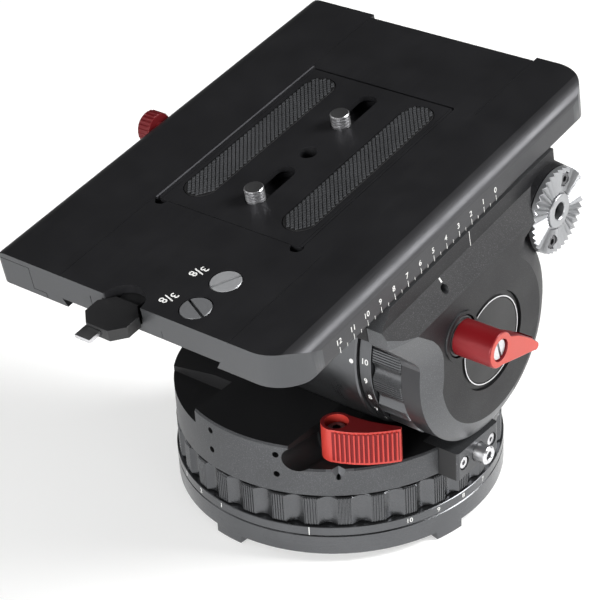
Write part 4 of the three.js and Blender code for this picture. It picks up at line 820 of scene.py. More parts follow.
@dataclass
class Assembly:
    """A sub-assembly of the head.

    Args:
        unit: The unit whose frame its sizes are in.
        repeater: The tree that lays out repeated features.
    """

    unit: Unit
    repeater: Repeater

    def show(
        self,
        name: str,
        solid: Solid,
        body: str,
        slot: str,
        finishes: Sequence[Finish],
        nodes: Sequence[str] = (),
        centre: Place = (0.0, 0.0, 0.0),
        smooth: float = 38.0,
    ) -> None:
        """Places one finished piece.

        Args:
            name: Name of the piece.
            solid: Its mesh, in the unit's millimetres.
            body: The CAD body that it rides on.
            slot: The record's material slot; not used.
            finishes: Finish of each of the mesh's material slots.
            nodes: CAD nodes that it stands for.
            centre: Centre of its tool lines.
            smooth: Least angle of an edge that stays sharp, in degrees.
        """
        mesh = solid.mesh.copy()
        mesh.transform(self.unit.matrix())
        slots = [face.material_index for face in mesh.polygons]
        mesh.materials.clear()
        for finish in finishes:
            mesh.materials.append(finish.material(self.unit, centre))
        mesh.polygons.foreach_set("material_index", slots)
        mesh.shade_smooth()
        mesh.set_sharp_from_angle(angle=math.radians(smooth))
        mesh = Solid(mesh).modified("WEIGHTED_NORMAL", {"keep_sharp": True, "weight": 50}).mesh
        mesh.name = name
        made = bpy.data.objects.new(name, mesh)
        bpy.context.scene.collection.objects.link(made)
        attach(made, body)
        if nodes:
            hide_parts(*nodes)
        LOG.info("%s: %d faces on %s", name, len(mesh.polygons), body)

    @staticmethod
    def paint(solid: Solid, choose: Callable[[Vector, Vector], int | None]) -> Solid:
        """Sets the finish of each face by its number, from its centre and normal; None leaves it."""
        for face in solid.mesh.polygons:
            slot = choose(face.center, face.normal)
            if slot is not None:
                face.material_index = slot
        return solid

    def grip(self, radius: float, inner: float, low: float, high: float, pitches: int, axis: Axis) -> Solid:
        """A ring of scallops between ribbed lands.

        Args:
            radius: Outer radius.
            inner: Radius of its bore.
            low: Where it starts along the axis.
            high: Where it ends.
            pitches: Scallops round the circle.
            axis: Its axis.

        Returns:
            The closed ring.
        """
        pitch = 360 / pitches
        scallop, depth, edge, waves = 0.6, 2.4, 0.6, 16
        ribs, groove = 5, 0.42
        samples: list[Point] = []
        for k in range(waves + 1):
            share = k / waves
            samples.append((pitch * scallop * (share - 0.5), radius - depth * math.sin(math.pi * share)))
        land, start = pitch * (1 - scallop), pitch * scallop / 2
        for k in range(ribs):
            for place, drop in ((0.18, 0.0), (0.34, groove), (0.66, groove), (0.82, 0.0)):
                samples.append((start + land * (k + place) / ribs, radius - drop))
        samples.append((pitch - start, radius))
        points: list[Place] = []
        for angle, reach in samples:
            c, s = polar(1.0, angle)
            profile = [(inner, low), (reach - edge, low), (reach, low + edge)]
            profile += [(reach, high - edge), (reach - edge, high), (inner, high)]
            points += [axis.point(r * c, r * s, along) for r, along in profile]
        return self.round_row(Solid.strip(points, 6), pitches, axis)

    def round_row(self, sector: Solid, count: int, axis: Axis) -> Solid:
        """A closed ring of sectors welded side by side round an axis."""
        pitch = 360 / count
        turn = (pitch, 0, 0) if axis is Axis.X else (0, 0, pitch)
        ring = self.repeater.repeat(sector, None, count=count, turn=turn, weld=0.01)
        return ring.edit(lambda bm: bmesh.ops.recalc_face_normals(bm, faces=bm.faces))

    def on_ring(self, print_: Solid, radius: float, angle: float, along: float, axis: Axis) -> Solid:
        """Bends a flat print round a ring, upright for an eye outside it.

        Args:
            print_: The print in the XY plane.
            radius: The ring's radius.
            angle: Its place round the ring, in degrees.
            along: Its place along the axis.
            axis: The ring's axis.

        Returns:
            The bent print.
        """
        made = print_.copy()
        for vertex in made.mesh.vertices:
            x, y, z = vertex.co
            reach = radius + z
            if axis is Axis.Z:
                turn = math.radians(angle) + x / radius
                vertex.co = (reach * math.cos(turn), reach * math.sin(turn), along + y)
            else:
                turn = math.radians(angle) - y / radius
                vertex.co = (along + x, reach * math.cos(turn), reach * math.sin(turn))
        return made


# base and pan unit


@dataclass
class PanBase(Assembly):
    """The base flange and the pan drag dial."""

    radius: float = 84.5
    foot_radius: float = 76.0
    foot_height: float = 4.0
    top: float = 15.0
    tabs: tuple[float, ...] = (-94, -13, 86, 167)
    tab_half: float = 8.0
    screw_circle: float = 46.0
    screw_hole: float = 4.2
    dial_bore: float = 56.1
    number_top: float = 20.5
    number_size: float = 3.7
    zero_angle: float = -62.7
    number_pitch: float = 11.25
    grip_radius: float = 83.5
    grip_low: float = 20.8
    grip_high: float = 37.2
    lands: int = 32

    def build(self) -> None:
        """Makes the pieces that don't turn and the dial."""
        self._flange()
        self._dial()

    def _flange(self) -> None:
        """The flange with its tabs and screw holes."""
        r, f, foot, top = self.radius, self.foot_radius, self.foot_height, self.top
        profile = [(0, 0), (f - 0.5, 0), (f, 0.5), (f, foot), (r - 0.5, foot), (r, foot + 0.5)]
        body = Solid.lathe([*profile, (r, top - 0.4), (r - 0.4, top), (0, top)], Axis.Z, steps=192)
        disc = Solid.rod(r, 0, foot + 2, Axis.Z, steps=192)
        tab = Solid.block((f - 10, -self.tab_half, 0), (r + 2, self.tab_half, foot + 1))
        for angle in self.tabs:
            body = body.join(tab.moved(placed((0, 0, 0), angle)).meet(disc))
        for angle in (45, 135, 225, 315):
            body = body.cut(Solid.rod(self.screw_hole, -3, 10, Axis.Z, polar(self.screw_circle, angle), 32))
        self.show("base_flange_ring", body.tidy(), "base", "grey_anodised", [RING_GREY], ["base_flange"])

    def _dial(self) -> None:
        """The number ring, its print and the grip ring."""
        b, r, rides, slot = self.dial_bore, self.radius, "pan_drag_dial", "grey_anodised"
        low, high = self.top + 0.4, self.number_top
        ring = Solid.lathe(band(b, r, low, high, 0.3, 0.3), Axis.Z, steps=192)
        self.show("pan_number_band", ring, rides, slot, [RING_GREY], ["pan_number_ring"])
        bar = Solid.block((-0.22, -2.3, 0), (0.22, 2.3, 0.08))
        marks: list[Solid] = []
        for start in (self.zero_angle, self.zero_angle + 180):
            prints = [(0, bar)]
            for value in range(1, 11):
                steps = -(value + 2) if value < 7 else 13 - value
                prints.append((steps, lettering(str(value), self.number_size, bold=0.04)))
            for steps, print_ in prints:
                angle = start + self.number_pitch * steps
                marks.append(self.on_ring(print_, r, angle, (low + high) / 2, Axis.Z))
        self.show("pan_dial_numbers", Solid.group(marks), rides, slot, [PRINT_WHITE])
        grip = self.grip(self.grip_radius, b, self.grip_low, self.grip_high, self.lands, Axis.Z)
        self.show("pan_grip_ring", grip, rides, slot, [RING_GREY], ["pan_drag_ring"], smooth=30)


@dataclass
class PanBody(Assembly):
    """The pan body with the lock block, the bubble level and the brake lever."""

    axis_height: float = 107.3
    radius: float = 83.0
    bottom: float = 37.8
    low_top: float = 53.5
    high_top: float = 65.7
    left: float = -27.0
    right: float = 34.0
    flank: float = 4.0
    pocket_floor: float = 58.0
    wedge_front: float = -50.0
    wedge_rear: float = -24.0
    wedge_inner: float = -38.0
    cradle: float = 54.3
    swept: float = 55.0
    core_half: float = 55.3
    notch_angle: float = -52.05
    block_inner: float = 70.3
    block_outer: float = 90.7
    block_front: float = -23.6
    block_rear: float = 10.8
    screw_reach: float = 11.7
    bubble: Point = (0.0, 64.0)
    pivot: Point = (43.614, -56.025)
    ribs: int = 14

    def build(self) -> None:
        """Makes the body and all that is fixed to it."""
        self._body()
        self._block()
        self._bubble()
        self._lever()

    def _body(self) -> None:
        """The round body with its levels, pockets and holes."""
        r, low, high, left, right = self.radius, self.low_top, self.high_top, self.left, self.right
        base, root, b = self.bottom, self.low_top - 3, self.block_inner - 0.3
        wall = [(0, base), (r - 0.8, base), (r, base + 0.8), (r, low - 0.9), (r - 0.9, low), (0, low)]
        disc = Solid.lathe(wall, Axis.Z, steps=192)
        tower = Solid.lathe(head_profile(r, root, high, 0.9), Axis.Z, steps=192)
        saddle = [(left, root), (right, root), (right, low), (right - self.flank, high), (left, high)]
        saddle = Solid.prism(saddle, -r - 2, r + 2, Axis.Y)
        wedge = [(-r, root), (left + 1, root), (left + 1, high), (self.wedge_inner, high)]
        wedge = Solid.prism([*wedge, (-r, self.pocket_floor)], self.wedge_front, self.wedge_rear, Axis.Y)
        pocket = Solid.block((-r, -r, root), (left + 3, self.wedge_front + 0.5, self.pocket_floor))
        body = disc.join(tower.meet(saddle.join(wedge, pocket)))
        axis, half = (0, self.axis_height), self.core_half
        body = body.cut(
            Solid.rod(self.cradle, -half, half, Axis.X, axis, 192),
            Solid.rod(self.swept, -r, -half + 0.3, Axis.X, axis, 192),
            Solid.rod(self.swept, half - 0.3, r, Axis.X, axis, 192),
            Solid.rod(24.3, base - 3, base + 8.3, Axis.Z),
            Solid.rod(14.4, base, 49, Axis.Z),
            Solid.rod(11.3, high - 6, high + 3, Axis.Z, self.bubble),
            Solid.block((b, self.block_front - 0.3, base - 3), (r + 3, self.block_rear + 0.3, low + 3)),
            Solid.rod(3.4, 47.1, high + 3, Axis.Z, self.pivot),
        )
        hole = Solid.rod(1.65, r - 5, r + 3, Axis.X, steps=28)
        for angle in (-100, -73):
            for height in (60.0, 48.7):
                body = body.cut(hole.moved(placed((0, 0, height), angle)))
        body = self._notches(body).tidy().bevelled(0.55, 2, 34)
        notch = (*polar(r, self.notch_angle), low - 2)

        def choose(centre: Vector, normal: Vector) -> int:
            """The top is black, the wall grey and the small pocket bare."""
            if math.dist(centre, notch) < 7 and 0.2 < normal.z < 0.9 and centre.xy.length > r - 6:
                return 2
            return 1 if normal.z > 0.8 or centre.xy.length < r - 2.2 else 0

        finishes = [CAST_GREY, TOP_BLACK, CAST_GREY.rubbed(2.0)]
        body = self.paint(body, choose)
        self.show("pan_body_casting", body, "pan_unit", "grey_anodised", finishes, ["pan_body"])

    def _notches(self, body: Solid) -> Solid:
        """Cuts the small pocket in the wall's top edge and the groove beside the high wall."""
        r, low, turn = self.radius, self.low_top, self.notch_angle
        top = low + 1
        tips = [(1.5, -6.4, top), (1.5, 6.4, top), (-4.4, 0, top), (1.5, 0, low - 8.1)]
        notch = Solid.from_faces(tips, [(0, 1, 2), (0, 1, 3), (1, 2, 3), (0, 2, 3)])
        notch = notch.moved(placed((0, 0, 0), turn) @ placed((r, 0, 0)))
        hole = Solid.rod(1.3, r - 6, r + 3, Axis.X, steps=24).moved(placed((0, 0, low - 4.4), turn))
        x, y = polar(r - 9, -66)
        groove = Solid.rod(6.5, -16, 16, Axis.Y, steps=48).moved(placed((x + 4.5, y - 4, low + 5.2), -8))
        return body.cut(notch, hole, groove)

    def _block(self) -> None:
        """The lock block, its screws and the steel pin."""
        x0, x1, y0, y1 = self.block_inner, self.block_outer, self.block_front, self.block_rear
        across, middle = (y0 + y1) / 2, (self.bottom + self.low_top) / 2
        places = {"front": across - self.screw_reach, "rear": across + self.screw_reach}
        outline = rounded([(x0, y0, 0.4), (x1, y0, 1.6), (x1, y1, 2.0), (x0, y1, 0.4)], 5)
        block = Solid.prism(outline, self.bottom, self.low_top, Axis.Z)
        for y in places.values():
            block = block.cut(Solid.rod(3.7, x1 - 6.4, x1 + 3, Axis.X, (y, middle), 40))
        block = block.cut(Solid.rod(5.05, x1 - 9, x1 + 3, Axis.X, (across, middle), 48))
        # The block's rounded edges take a lighter copy of its grey: partly wear, partly a painted highlight.
        block = block.tidy().bevelled(0.6, 3, 34, 1)
        block = self.paint(block, lambda centre, normal: 2 if normal.y < -0.9 else None)
        finishes = [CAST_GREY, CAST_GREY.rubbed(2.6), MOULDED_BLACK]
        self.show("lock_block_body", block, "pan_unit", "black_metal", finishes, ["lock_block"])
        steel = ("pan_unit", "bright_steel", [TURNED_STEEL])
        top = x1 - 0.5
        for name, y in places.items():
            node, spot = f"block_screw_{name}", (y, middle)
            recess = Solid.prism(star(12, (1.05, 1.55), spot), top - 2, top + 1, Axis.X)
            body = Solid.lathe(head_profile(3.4, x1 - 6.2, top, 0.5), Axis.X, spot, 48).cut(recess)
            self.show(node + "_head", body.bevelled(0.12, 1, 40), *steel, [node], centre=(0, *spot))
        tip, spot = x1 + 6.7, (across, middle)
        pin = [(0, x1 - 8.7), (4.75, x1 - 8.7), (4.75, tip - 0.8), (4.0, tip), (2.6, tip), (2.1, tip - 0.5)]
        pin = Solid.lathe([*pin, (2.1, tip - 5), (0, tip - 5)], Axis.X, spot, 64)
        self.show("pin_body", pin, *steel, ["steel_pin"], centre=(0, *spot))

    def _bubble(self) -> None:
        """The bubble level's bezel, vial, ring line and bubble."""
        top = self.high_top
        bezel = [(0, -5.7), (11, -5.7), (11, -0.5), (10.5, 0), (9.4, 0), (9, -0.4), (9, -5), (0, -5)]
        vial = [(0, -4.7), (8.7, -4.7), (8.7, -1.1), (8.0, -0.5), (4, -0.32), (0, -0.3)]
        line = [(3.4, -0.36), (3.7, -0.36), (3.7, -0.24), (3.4, -0.24), (3.4, -0.36)]
        for name, profile, steps, slot, finish, nodes in (
            ("bubble_frame", bezel, 96, "black_moulded", MOULDED_BLACK, ["bubble_bezel"]),
            ("bubble_glass", vial, 96, "vial_glass", VIAL_GREEN, ["bubble_vial"]),
            ("bubble_ring_line", line, 64, "black_moulded", MOULDED_BLACK, []),
        ):
            body = Solid.lathe(raised(profile, top), Axis.Z, self.bubble, steps)
            self.show(name, body, "pan_unit", slot, [finish], nodes)

    def _lever(self) -> None:
        """The red brake lever with its ribbed face and its screw."""
        low, high, rides, slot = self.low_top + 1.3, self.low_top + 20.0, "pan_brake", "red_anodised"
        outer = [(2.3, -7.1), (7.0, -5.4), (12.2, -2.9), (18.3, 1.1), (24.8, 7.2), (29.0, 12.0)]
        inner = [(28.2, 13.9), (18.6, 10.6), (12.6, 8.8), (7.4, 8.0)]
        arm = Solid.prism(outer + inner + arc((0, 0), 7.6, 76, 282, 40), low, high, Axis.Z)
        arm = arm.cut(Solid.rod(5.9, high - 6.5, high + 3, Axis.Z, steps=64))
        foot = Solid.rod(5.5, self.low_top + 0.3, low + 1, Axis.Z, steps=64)
        stem = Solid.rod(3, self.low_top - 6, low, Axis.Z, steps=32)
        arm = arm.join(foot, stem).tidy().bevelled(0.45, 3, 34)
        # The top faces take the painted shade.
        arm = self.paint(arm, lambda centre, normal: 1 if normal.z > 0.8 else 0)
        place = placed((*self.pivot, 0))
        finishes = [LEVER_RED, LEVER_SHADE_RED]
        self.show("lever_arm", arm.moved(place), rides, slot, finishes, ["pan_brake_lever"])
        # A thin dark sheet over the outer face between the ribs: painted shade in the grooves.
        front = outer[:-1] + [(28.4, 11.3)]
        strip = [(x + 0.05, y - 0.1) for x, y in front] + [(x - 0.3, y + 0.5) for x, y in reversed(front)]
        groove_shade = Solid.prism(strip, low + 1.2, high - 1.2, Axis.Z)
        self.show("lever_groove_shade", groove_shade.moved(place), rides, slot, [LEVER_SHADE_RED])
        self.show("lever_ribs", self._rib_row(outer, low, high).moved(place), rides, slot, [LEVER_RED])
        seat = high - 6.2
        recess = Solid.prism(star(6, (2.2,)), seat + 1.2, high, Axis.Z)
        screw = Solid.lathe(head_profile(4.6, seat, seat + 2.9, 0.5), Axis.Z, steps=48).cut(recess)
        self.show("lever_screw", screw.moved(place), rides, "black_metal", [DARK_STEEL], ["pan_brake_screw"])

    def _rib_row(self, path: Sequence[Point], low: float, high: float) -> Solid:
        """Upright ribs spread evenly along the lever's outer face."""
        outline = [(-0.62, -0.5), (0.62, -0.5), (0.36, 0.85), (-0.36, 0.85)]
        rib = Solid.prism(outline, low + 1.2, high - 1.2, Axis.Z)
        lengths = [math.dist(a, b) for a, b in zip(path, path[1:])]
        made: list[Solid] = []
        for k in range(self.ribs):
            reach = (0.06 + 0.88 * k / (self.ribs - 1)) * sum(lengths)
            part = 0
            while reach > lengths[part]:
                reach -= lengths[part]
                part += 1
            a, b = Vector(path[part]), Vector(path[part + 1])
            spot = a + (b - a) * (reach / lengths[part])
            heading = math.degrees(math.atan2(b.y - a.y, b.x - a.x)) - 180
            made.append(rib.moved(placed((*spot, 0), heading)))
        return Solid.group(made)


# tilt unit


@dataclass
class TiltDials(Assembly):
    """The core drum and the dials on both of its sides."""

    core_radius: float = 54.0
    core_half: float = 55.0
    bore: float = 42.0
    dot_angle: float = 177.2
    dot_place: float = 52.6
    dial_radius: float = 52.0
    dial_bore: float = 30.8
    number_start: float = 55.3
    number_end: float = 62.2
    number_size: float = 4.3
    number_pitch: float = 12.0
    last_angle: float = 176.6
    grip_start: float = 62.5
    grip_end: float = 78.9
    lands: int = 20

    def build(self) -> None:
        """Makes the drum, the tilt dial and the counterbalance dial."""
        r, half, slot = self.core_radius, self.core_half, "grey_anodised"
        drum = Solid.lathe(band(self.bore, r, -half, half, 0.7, 0.7), Axis.X, steps=192)
        self.show("core_drum", drum, "pan_unit", slot, [DRUM_GREY], ["tilt_core"])
        dot = Solid.rod(1.15, 0, 0.08, Axis.Z, steps=32)
        dot = self.on_ring(dot, r, self.dot_angle, self.dot_place, Axis.X)
        self.show("index_dot", dot, "pan_unit", slot, [PRINT_WHITE])
        r, b = self.dial_radius, self.dial_bore
        ring = Solid.lathe(band(b, r, self.number_start, self.number_end, 0.6, 0.2), Axis.X, steps=192)
        grip = self.grip(r, b, self.grip_start, self.grip_end, self.lands, Axis.X)
        for side, name, body, ring_node, grip_node in (
            (1, "tilt", "tilt_drag_dial", "tilt_number_ring", "tilt_drag_ring"),
            (-1, "balance", "counterbalance_dial", "counterbalance_number_ring", "counterbalance_ring"),
        ):
            self.show(f"{name}_number_band", ring.on_side(side), body, slot, [DRUM_GREY], [ring_node])
            dial = grip.on_side(side)
            self.show(f"{name}_grip_ring", dial, body, slot, [DRUM_GREY], [grip_node], smooth=30)
            self.show(f"{name}_dial_numbers", self._numbers(side), body, slot, [PRINT_WHITE])

    def _numbers(self, side: int) -> Solid:
        """The numbers 1 to 10 on one dial, upright for an eye in front."""
        middle = side * (self.number_start + self.number_end) / 2
        marks = []
        for value in range(1, 11):
            angle = self.last_angle + self.number_pitch * (10 - value)
            print_ = lettering(str(value), self.number_size, bold=0.05)
            marks.append(self.on_ring(print_, self.dial_radius, angle, middle, Axis.X))
        return Solid.group(marks)


@dataclass
class TiltFrame(Assembly):
    """The bridge, both cheeks, the rosettes, the bare badge and the tilt brake."""

    rear: float = 73.0
    front: float = -68.0
    front_top: float = -60.0
    bridge_top: float = 61.3
    arch: float = 55.5
    arch_half: float = 36.0
    cheek_inner: float = 79.2
    hood_side: float = 87.4
    slope_top: float = 52.9
    slope_run: float = 0.65
    band_side: float = 89.6
    cheek_outer: float = 94.5
    lobe_radius: float = 51.5
    face_radius: float = 41.0
    index_hole: Point = (-24.9, 47.9)
    badge_seat: float = 24.8
    brake: Point = (-22.5, 20.0)
    boss_height: float = 0.8
    boss_depth: float = 4.2
    wing_angle: float = -34.0
    rosette: Point = (63.0, 33.6)
    face: float = 95.2
    back: float = 91.2
    teeth: int = 38
    screw_circle: float = 15.6
    screw_angle: float = 62.0

    def build(self) -> None:
        """Makes the frame's pieces on both sides."""
        self._bridge()
        cheek = self._cheek()
        seat = Solid.rod(self.badge_seat, self.cheek_outer - 2, self.cheek_outer + 3, Axis.X, steps=128)
        cheek = cheek.cut(seat)
        finishes = [CAST_BLACK, CAST_BLACK.rubbed(), BAND_BLACK, CHAMFER_PAINT_AND_HIGHLIGHT]
        for side, name, solid in ((1, "right_cheek", self._right(cheek)), (-1, "left_cheek", cheek)):
            # The cheek's rounded edges take a lighter copy of its black: partly wear, partly a painted
            # highlight.
            solid = solid.tidy().bevelled(0.4, 2, 30, 1).on_side(side)
            painted = self.paint(solid, self._skin)
            self.show(name + "_casting", painted, "tilt_frame", "black_anodised", finishes, [name], smooth=14)
        marks = Solid.block((self.hood_side, 1.35, 52.9), (self.hood_side + 0.06, 1.65, 61.0))
        drop, slant = 1.3, -math.degrees(math.atan(self.slope_run))
        spot = (self.hood_side + self.slope_run * drop, -24.3, self.slope_top - drop)
        marks = marks.beside(Solid.block((0, -0.45, -1.2), (0.07, 0.45, 1.2)).moved(placed(spot, slant, "Y")))
        self.show("frame_index_marks", marks, "tilt_frame", "black_anodised", [PRINT_WHITE])
        self._badge()
        self._brake()
        for side, name in ((1, "right"), (-1, "left")):
            self._rosette(side, name)

    def _skin(self, centre: Vector, normal: Vector) -> int | None:
        """The turned band, and the chamfer round the face and the hood's under and end sides, which take a grey
        that is partly paint and partly painted light.
        """
        across, reach = abs(normal.x), math.hypot(centre.y, centre.z)
        boss = math.dist(centre.yz, self.rosette) < 23.4 and abs(centre.x) > self.cheek_inner + 1
        if across > 0.985 or reach < 36 or (normal.z > 0.4 and across > 0.75) or boss:
            return None
        if across > 0.3 and centre.y > 14:
            return None
        # Slot 3 is the chamfer's grey, partly its own paint and partly painted light.
        if across < 0.3:
            return 2 if reach < self.lobe_radius + 0.6 and centre.z < 18 else 3
        if abs(abs(centre.x) - self.band_side) < 0.6:
            return 2
        return 3

    def _bridge(self) -> None:
        """The bridge over the core and the slide rail on it."""
        top, rear, front = self.bridge_top, self.rear, self.front
        springing = math.degrees(math.asin(self.arch_half / self.arch))
        outline = [(self.front_top, top), (front, 52.7), (front, 44.5), (-62, 40)]
        outline += arc((0, 0), self.arch, 180 - springing, springing, 72)
        outline += [(62, 40), (rear, 48), (rear, top)]
        bridge = Solid.prism(outline, -78.9, 78.9, Axis.X).tidy().bevelled(0.8, 2, 30)
        self.show("bridge_casting", bridge, "tilt_frame", "black_anodised", [CAST_BLACK], ["tilt_bridge"])
        rail = Solid.prism([(-44, 61.6), (44, 61.6), (46.5, 65.2), (-46.5, 65.2)], -rear, rear, Axis.Y)
        rail = rail.bevelled(0.3, 1, 30)
        self.show("rail_body", rail, "tilt_frame", "black_metal", [DARK_STEEL], ["slide_rail"])

    def _cheek(self) -> Solid:
        """The cheek with its hood, lobe and rosette boss."""
        inner, side, outer, top = self.cheek_inner, self.band_side, self.cheek_outer, self.bridge_top
        hood, back, spot = self.hood_side, self.back - 0.3, self.rosette
        rim, face = self._outlines()
        middle = [((a[0] + b[0]) / 2, (a[1] + b[1]) / 2) for a, b in zip(rim, face)]
        rows = [(inner, rim), (side, rim), (side + (outer - side) * 0.62, middle), (outer, face)]
        reach = outer + 6
        foot = self.slope_top - (reach - hood) / self.slope_run
        section = [(hood, top + 3), (hood, self.slope_top), (reach, foot), (reach, top + 3)]
        body = Solid.loft(rows, Axis.X).cut(Solid.prism(section, -100, 100, Axis.Y))
        body = body.join(Solid.lathe([(0, inner), (23, inner), (21.6, back), (0, back)], Axis.X, spot, 96))
        return body.cut(
            Solid.rod(22.2, back, outer + 3, Axis.X, spot, 96),
            Solid.rod(11.3, inner - 3, inner + 9, Axis.X, steps=64),
            Solid.rod(4.3, self.face - 9, outer + 1, Axis.X, spot, 40),
            *(Solid.rod(2.1, 88.6, 96, Axis.X, place, 24) for place in self._screw_places().values()),
        )

    def _outlines(self) -> tuple[list[Point], list[Point]]:
        """The cheek's outline at its rim and round its flat face, point for point."""
        top, front, rear = self.bridge_top, self.front, self.rear
        rim = [(self.front_top, top), (front, 52.7), (front, 43.8), (-61.6, 35.8), (-55.2, 27.9)]
        rim += [(-50.9, 22.5), (-49.3, 19.6), (-48.9, 16.3)]
        face = [(-52.4, top), (-52.4, 52.7), (-52.4, 42), (-48, 37.5), (-42.6, 32)]
        face += [(-39.2, 26.6), (-37.4, 21.5), (-37.0, 17.6)]
        for angle, reach in ((165.0, 39.3), (169.0, 39.2), (173.0, 39.6), (177.0, 40.2)):
            rim.append(polar(self.lobe_radius, angle))
            face.append(polar(reach, angle))
        rim += arc((0, 0), self.lobe_radius, 180, 406, 150)
        face += arc((0, 0), self.face_radius, 180, 406, 150)
        rim += [(41.5, 37), (66, 44), (rear, 49), (rear, top)]
        face += [(34, 37.5), (60, 46), (66, 49), (66, top)]
        return rim, face

    def _right(self, cheek: Solid) -> Solid:
        """The right cheek with its index hole and its brake boss."""
        outer, floor = self.cheek_outer, self.cheek_outer + self.boss_height - self.boss_depth
        body = cheek.cut(Solid.rod(2.2, self.hood_side - 3, outer + 3, Axis.X, self.index_hole, 32))
        boss = Solid.rod(12.4, outer - 2.8, outer + self.boss_height, Axis.X, self.brake, 96)
        return body.join(boss).cut(
            Solid.rod(10.6, floor, outer + 3, Axis.X, self.brake, 96),
            Solid.rod(5.4, floor - 8, outer, Axis.X, self.brake, 48),
        )

    def _screw_places(self) -> dict[str, Point]:
        """Centres of the rosette's two screws."""
        turn, circle = self.screw_angle, self.screw_circle
        return {"upper": polar(circle, turn, self.rosette), "lower": polar(-circle, turn, self.rosette)}

    def _badge(self) -> None:
        """The bare badge with its bright ring on the right and the cover on the left."""
        outer, floor, moulded = self.cheek_outer, self.cheek_outer - 1.7, ("black_moulded", [MOULDED_BLACK])
        clear = Solid.rod(12.7, outer - 2, outer + 3, Axis.X, self.brake, 96)
        ring = [(21.5, 0), (24.5, 0), (24.5, 0.3), (22.3, 0.3), (22.2, 1.4), (21.6, 1.4), (21.5, 0)]
        body = Solid.lathe(raised(ring, floor), Axis.X, steps=128).cut(clear)
        body = self.paint(body, lambda centre, normal: 0 if centre.x > floor + 1.0 else 1)
        finishes = [TURNED_STEEL, MOULDED_BLACK]
        self.show("badge_bright_ring", body, "tilt_frame", "bright_aluminium", finishes, ["badge_ring"])
        body = Solid.lathe(head_profile(21.3, floor, floor + 1.2, 0.2), Axis.X, steps=128).cut(clear)
        self.show("badge_plate", body, "tilt_frame", *moulded, ["badge_disc"])
        cover = [(0, floor), (24.5, floor), (24.5, outer - 0.7), (24.1, outer - 0.3), (20, outer - 0.3)]
        body = Solid.lathe([*cover, (19.6, outer - 0.7), (0, outer - 0.7)], Axis.X, steps=128)
        self.show("left_cover_disc", body.on_side(-1), "tilt_frame", *moulded, ["left_cover"])

    def _brake(self) -> None:
        """The collar, the red knob with its wing and the slotted screw."""
        spot, origin = self.brake, (0, *self.brake)
        floor = self.cheek_outer + self.boss_height - self.boss_depth + 0.3
        collar = [(5.4, 0), (10.3, 0), (10.3, 2.6), (9.7, 3.4), (9.0, 3.4), (8.6, 2.8)]
        collar += [(7.9, 2.8), (7.6, 3.4), (5.4, 3.4), (5.4, 0)]
        body = Solid.lathe(raised(collar, floor), Axis.X, spot, 96)
        # The collar takes the lighter copy of the moulded black.
        lightened_black = ("tilt_frame", "black_metal", [MOULDED_BLACK.rubbed(3.0)])
        self.show("brake_collar", body, *lightened_black, ["tilt_brake_collar"], centre=origin)
        start, end = floor + 3.8, floor + 24.8
        barrel = [(0, start), (8.3, start), (8.85, start + 0.6), (8.85, end - 0.9), (8.3, end), (0, end)]
        heading = placed(origin, self.wing_angle, "X")
        wing = Solid.prism(self._wing(), end - 9, end, Axis.X).moved(heading).bevelled(0.8, 3, 34)
        stem = Solid.rod(5, floor - 11, start + 1, Axis.X, spot, 48)
        body = Solid.lathe(barrel, Axis.X, spot, 96).join(wing, stem)
        body = body.cut(Solid.rod(5.6, end - 4.6, end + 3, Axis.X, spot, 64)).tidy()
        # The end face takes the painted light.
        body = self.paint(body, lambda centre, normal: 1 if normal.x > 0.9 and centre.x > end - 1 else 0)
        knob = ("tilt_brake", "red_anodised", [KNOB_RED, KNOB_LIT_FACE], ["tilt_brake_knob"])
        self.show("brake_knob", body, *knob)
        rib = Solid.prism([(-0.35, -0.4), (0.35, -0.4), (0.0, 0.4)], end - 8.2, end - 0.9, Axis.X)
        row = {"shift": (0, 1.25, -0.12), "first_shift": (0, 14.5, 5.5), "first_turn": (4, 0, 0)}
        ribs = self.repeater.repeat(rib, None, count=12, **row).moved(heading)
        self.show("brake_knob_ribs", ribs, "tilt_brake", "red_anodised", [KNOB_RED])
        top = end - 1.0
        slot = Solid.block((top - 1.3, -0.7, -6), (top + 2, 0.7, 6)).moved(placed(origin, 8, "X"))
        body = Solid.lathe(head_profile(5.3, end - 4.3, top, 0.5), Axis.X, spot, 64).cut(slot)
        steel = ("tilt_brake", "bright_steel", [TURNED_STEEL])
        self.show("brake_screw", body, *steel, ["tilt_brake_screw"], centre=origin)

    @staticmethod
    def _wing() -> list[Point]:
        """The wing's teardrop outline round the barrel's centre, with its tip along +U."""
        tip = arc((33.0, 0.0), 2.2, -100, 60, 10)
        upper = [(27.0, 4.2), (20.0, 5.6), (13.0, 6.6)]
        head = arc((0, 0), 8.85, 48, 300, 48)
        lower = [(12.0, -6.2), (20.0, -4.6), (27.0, -3.2)]
        return tip + upper + head + lower

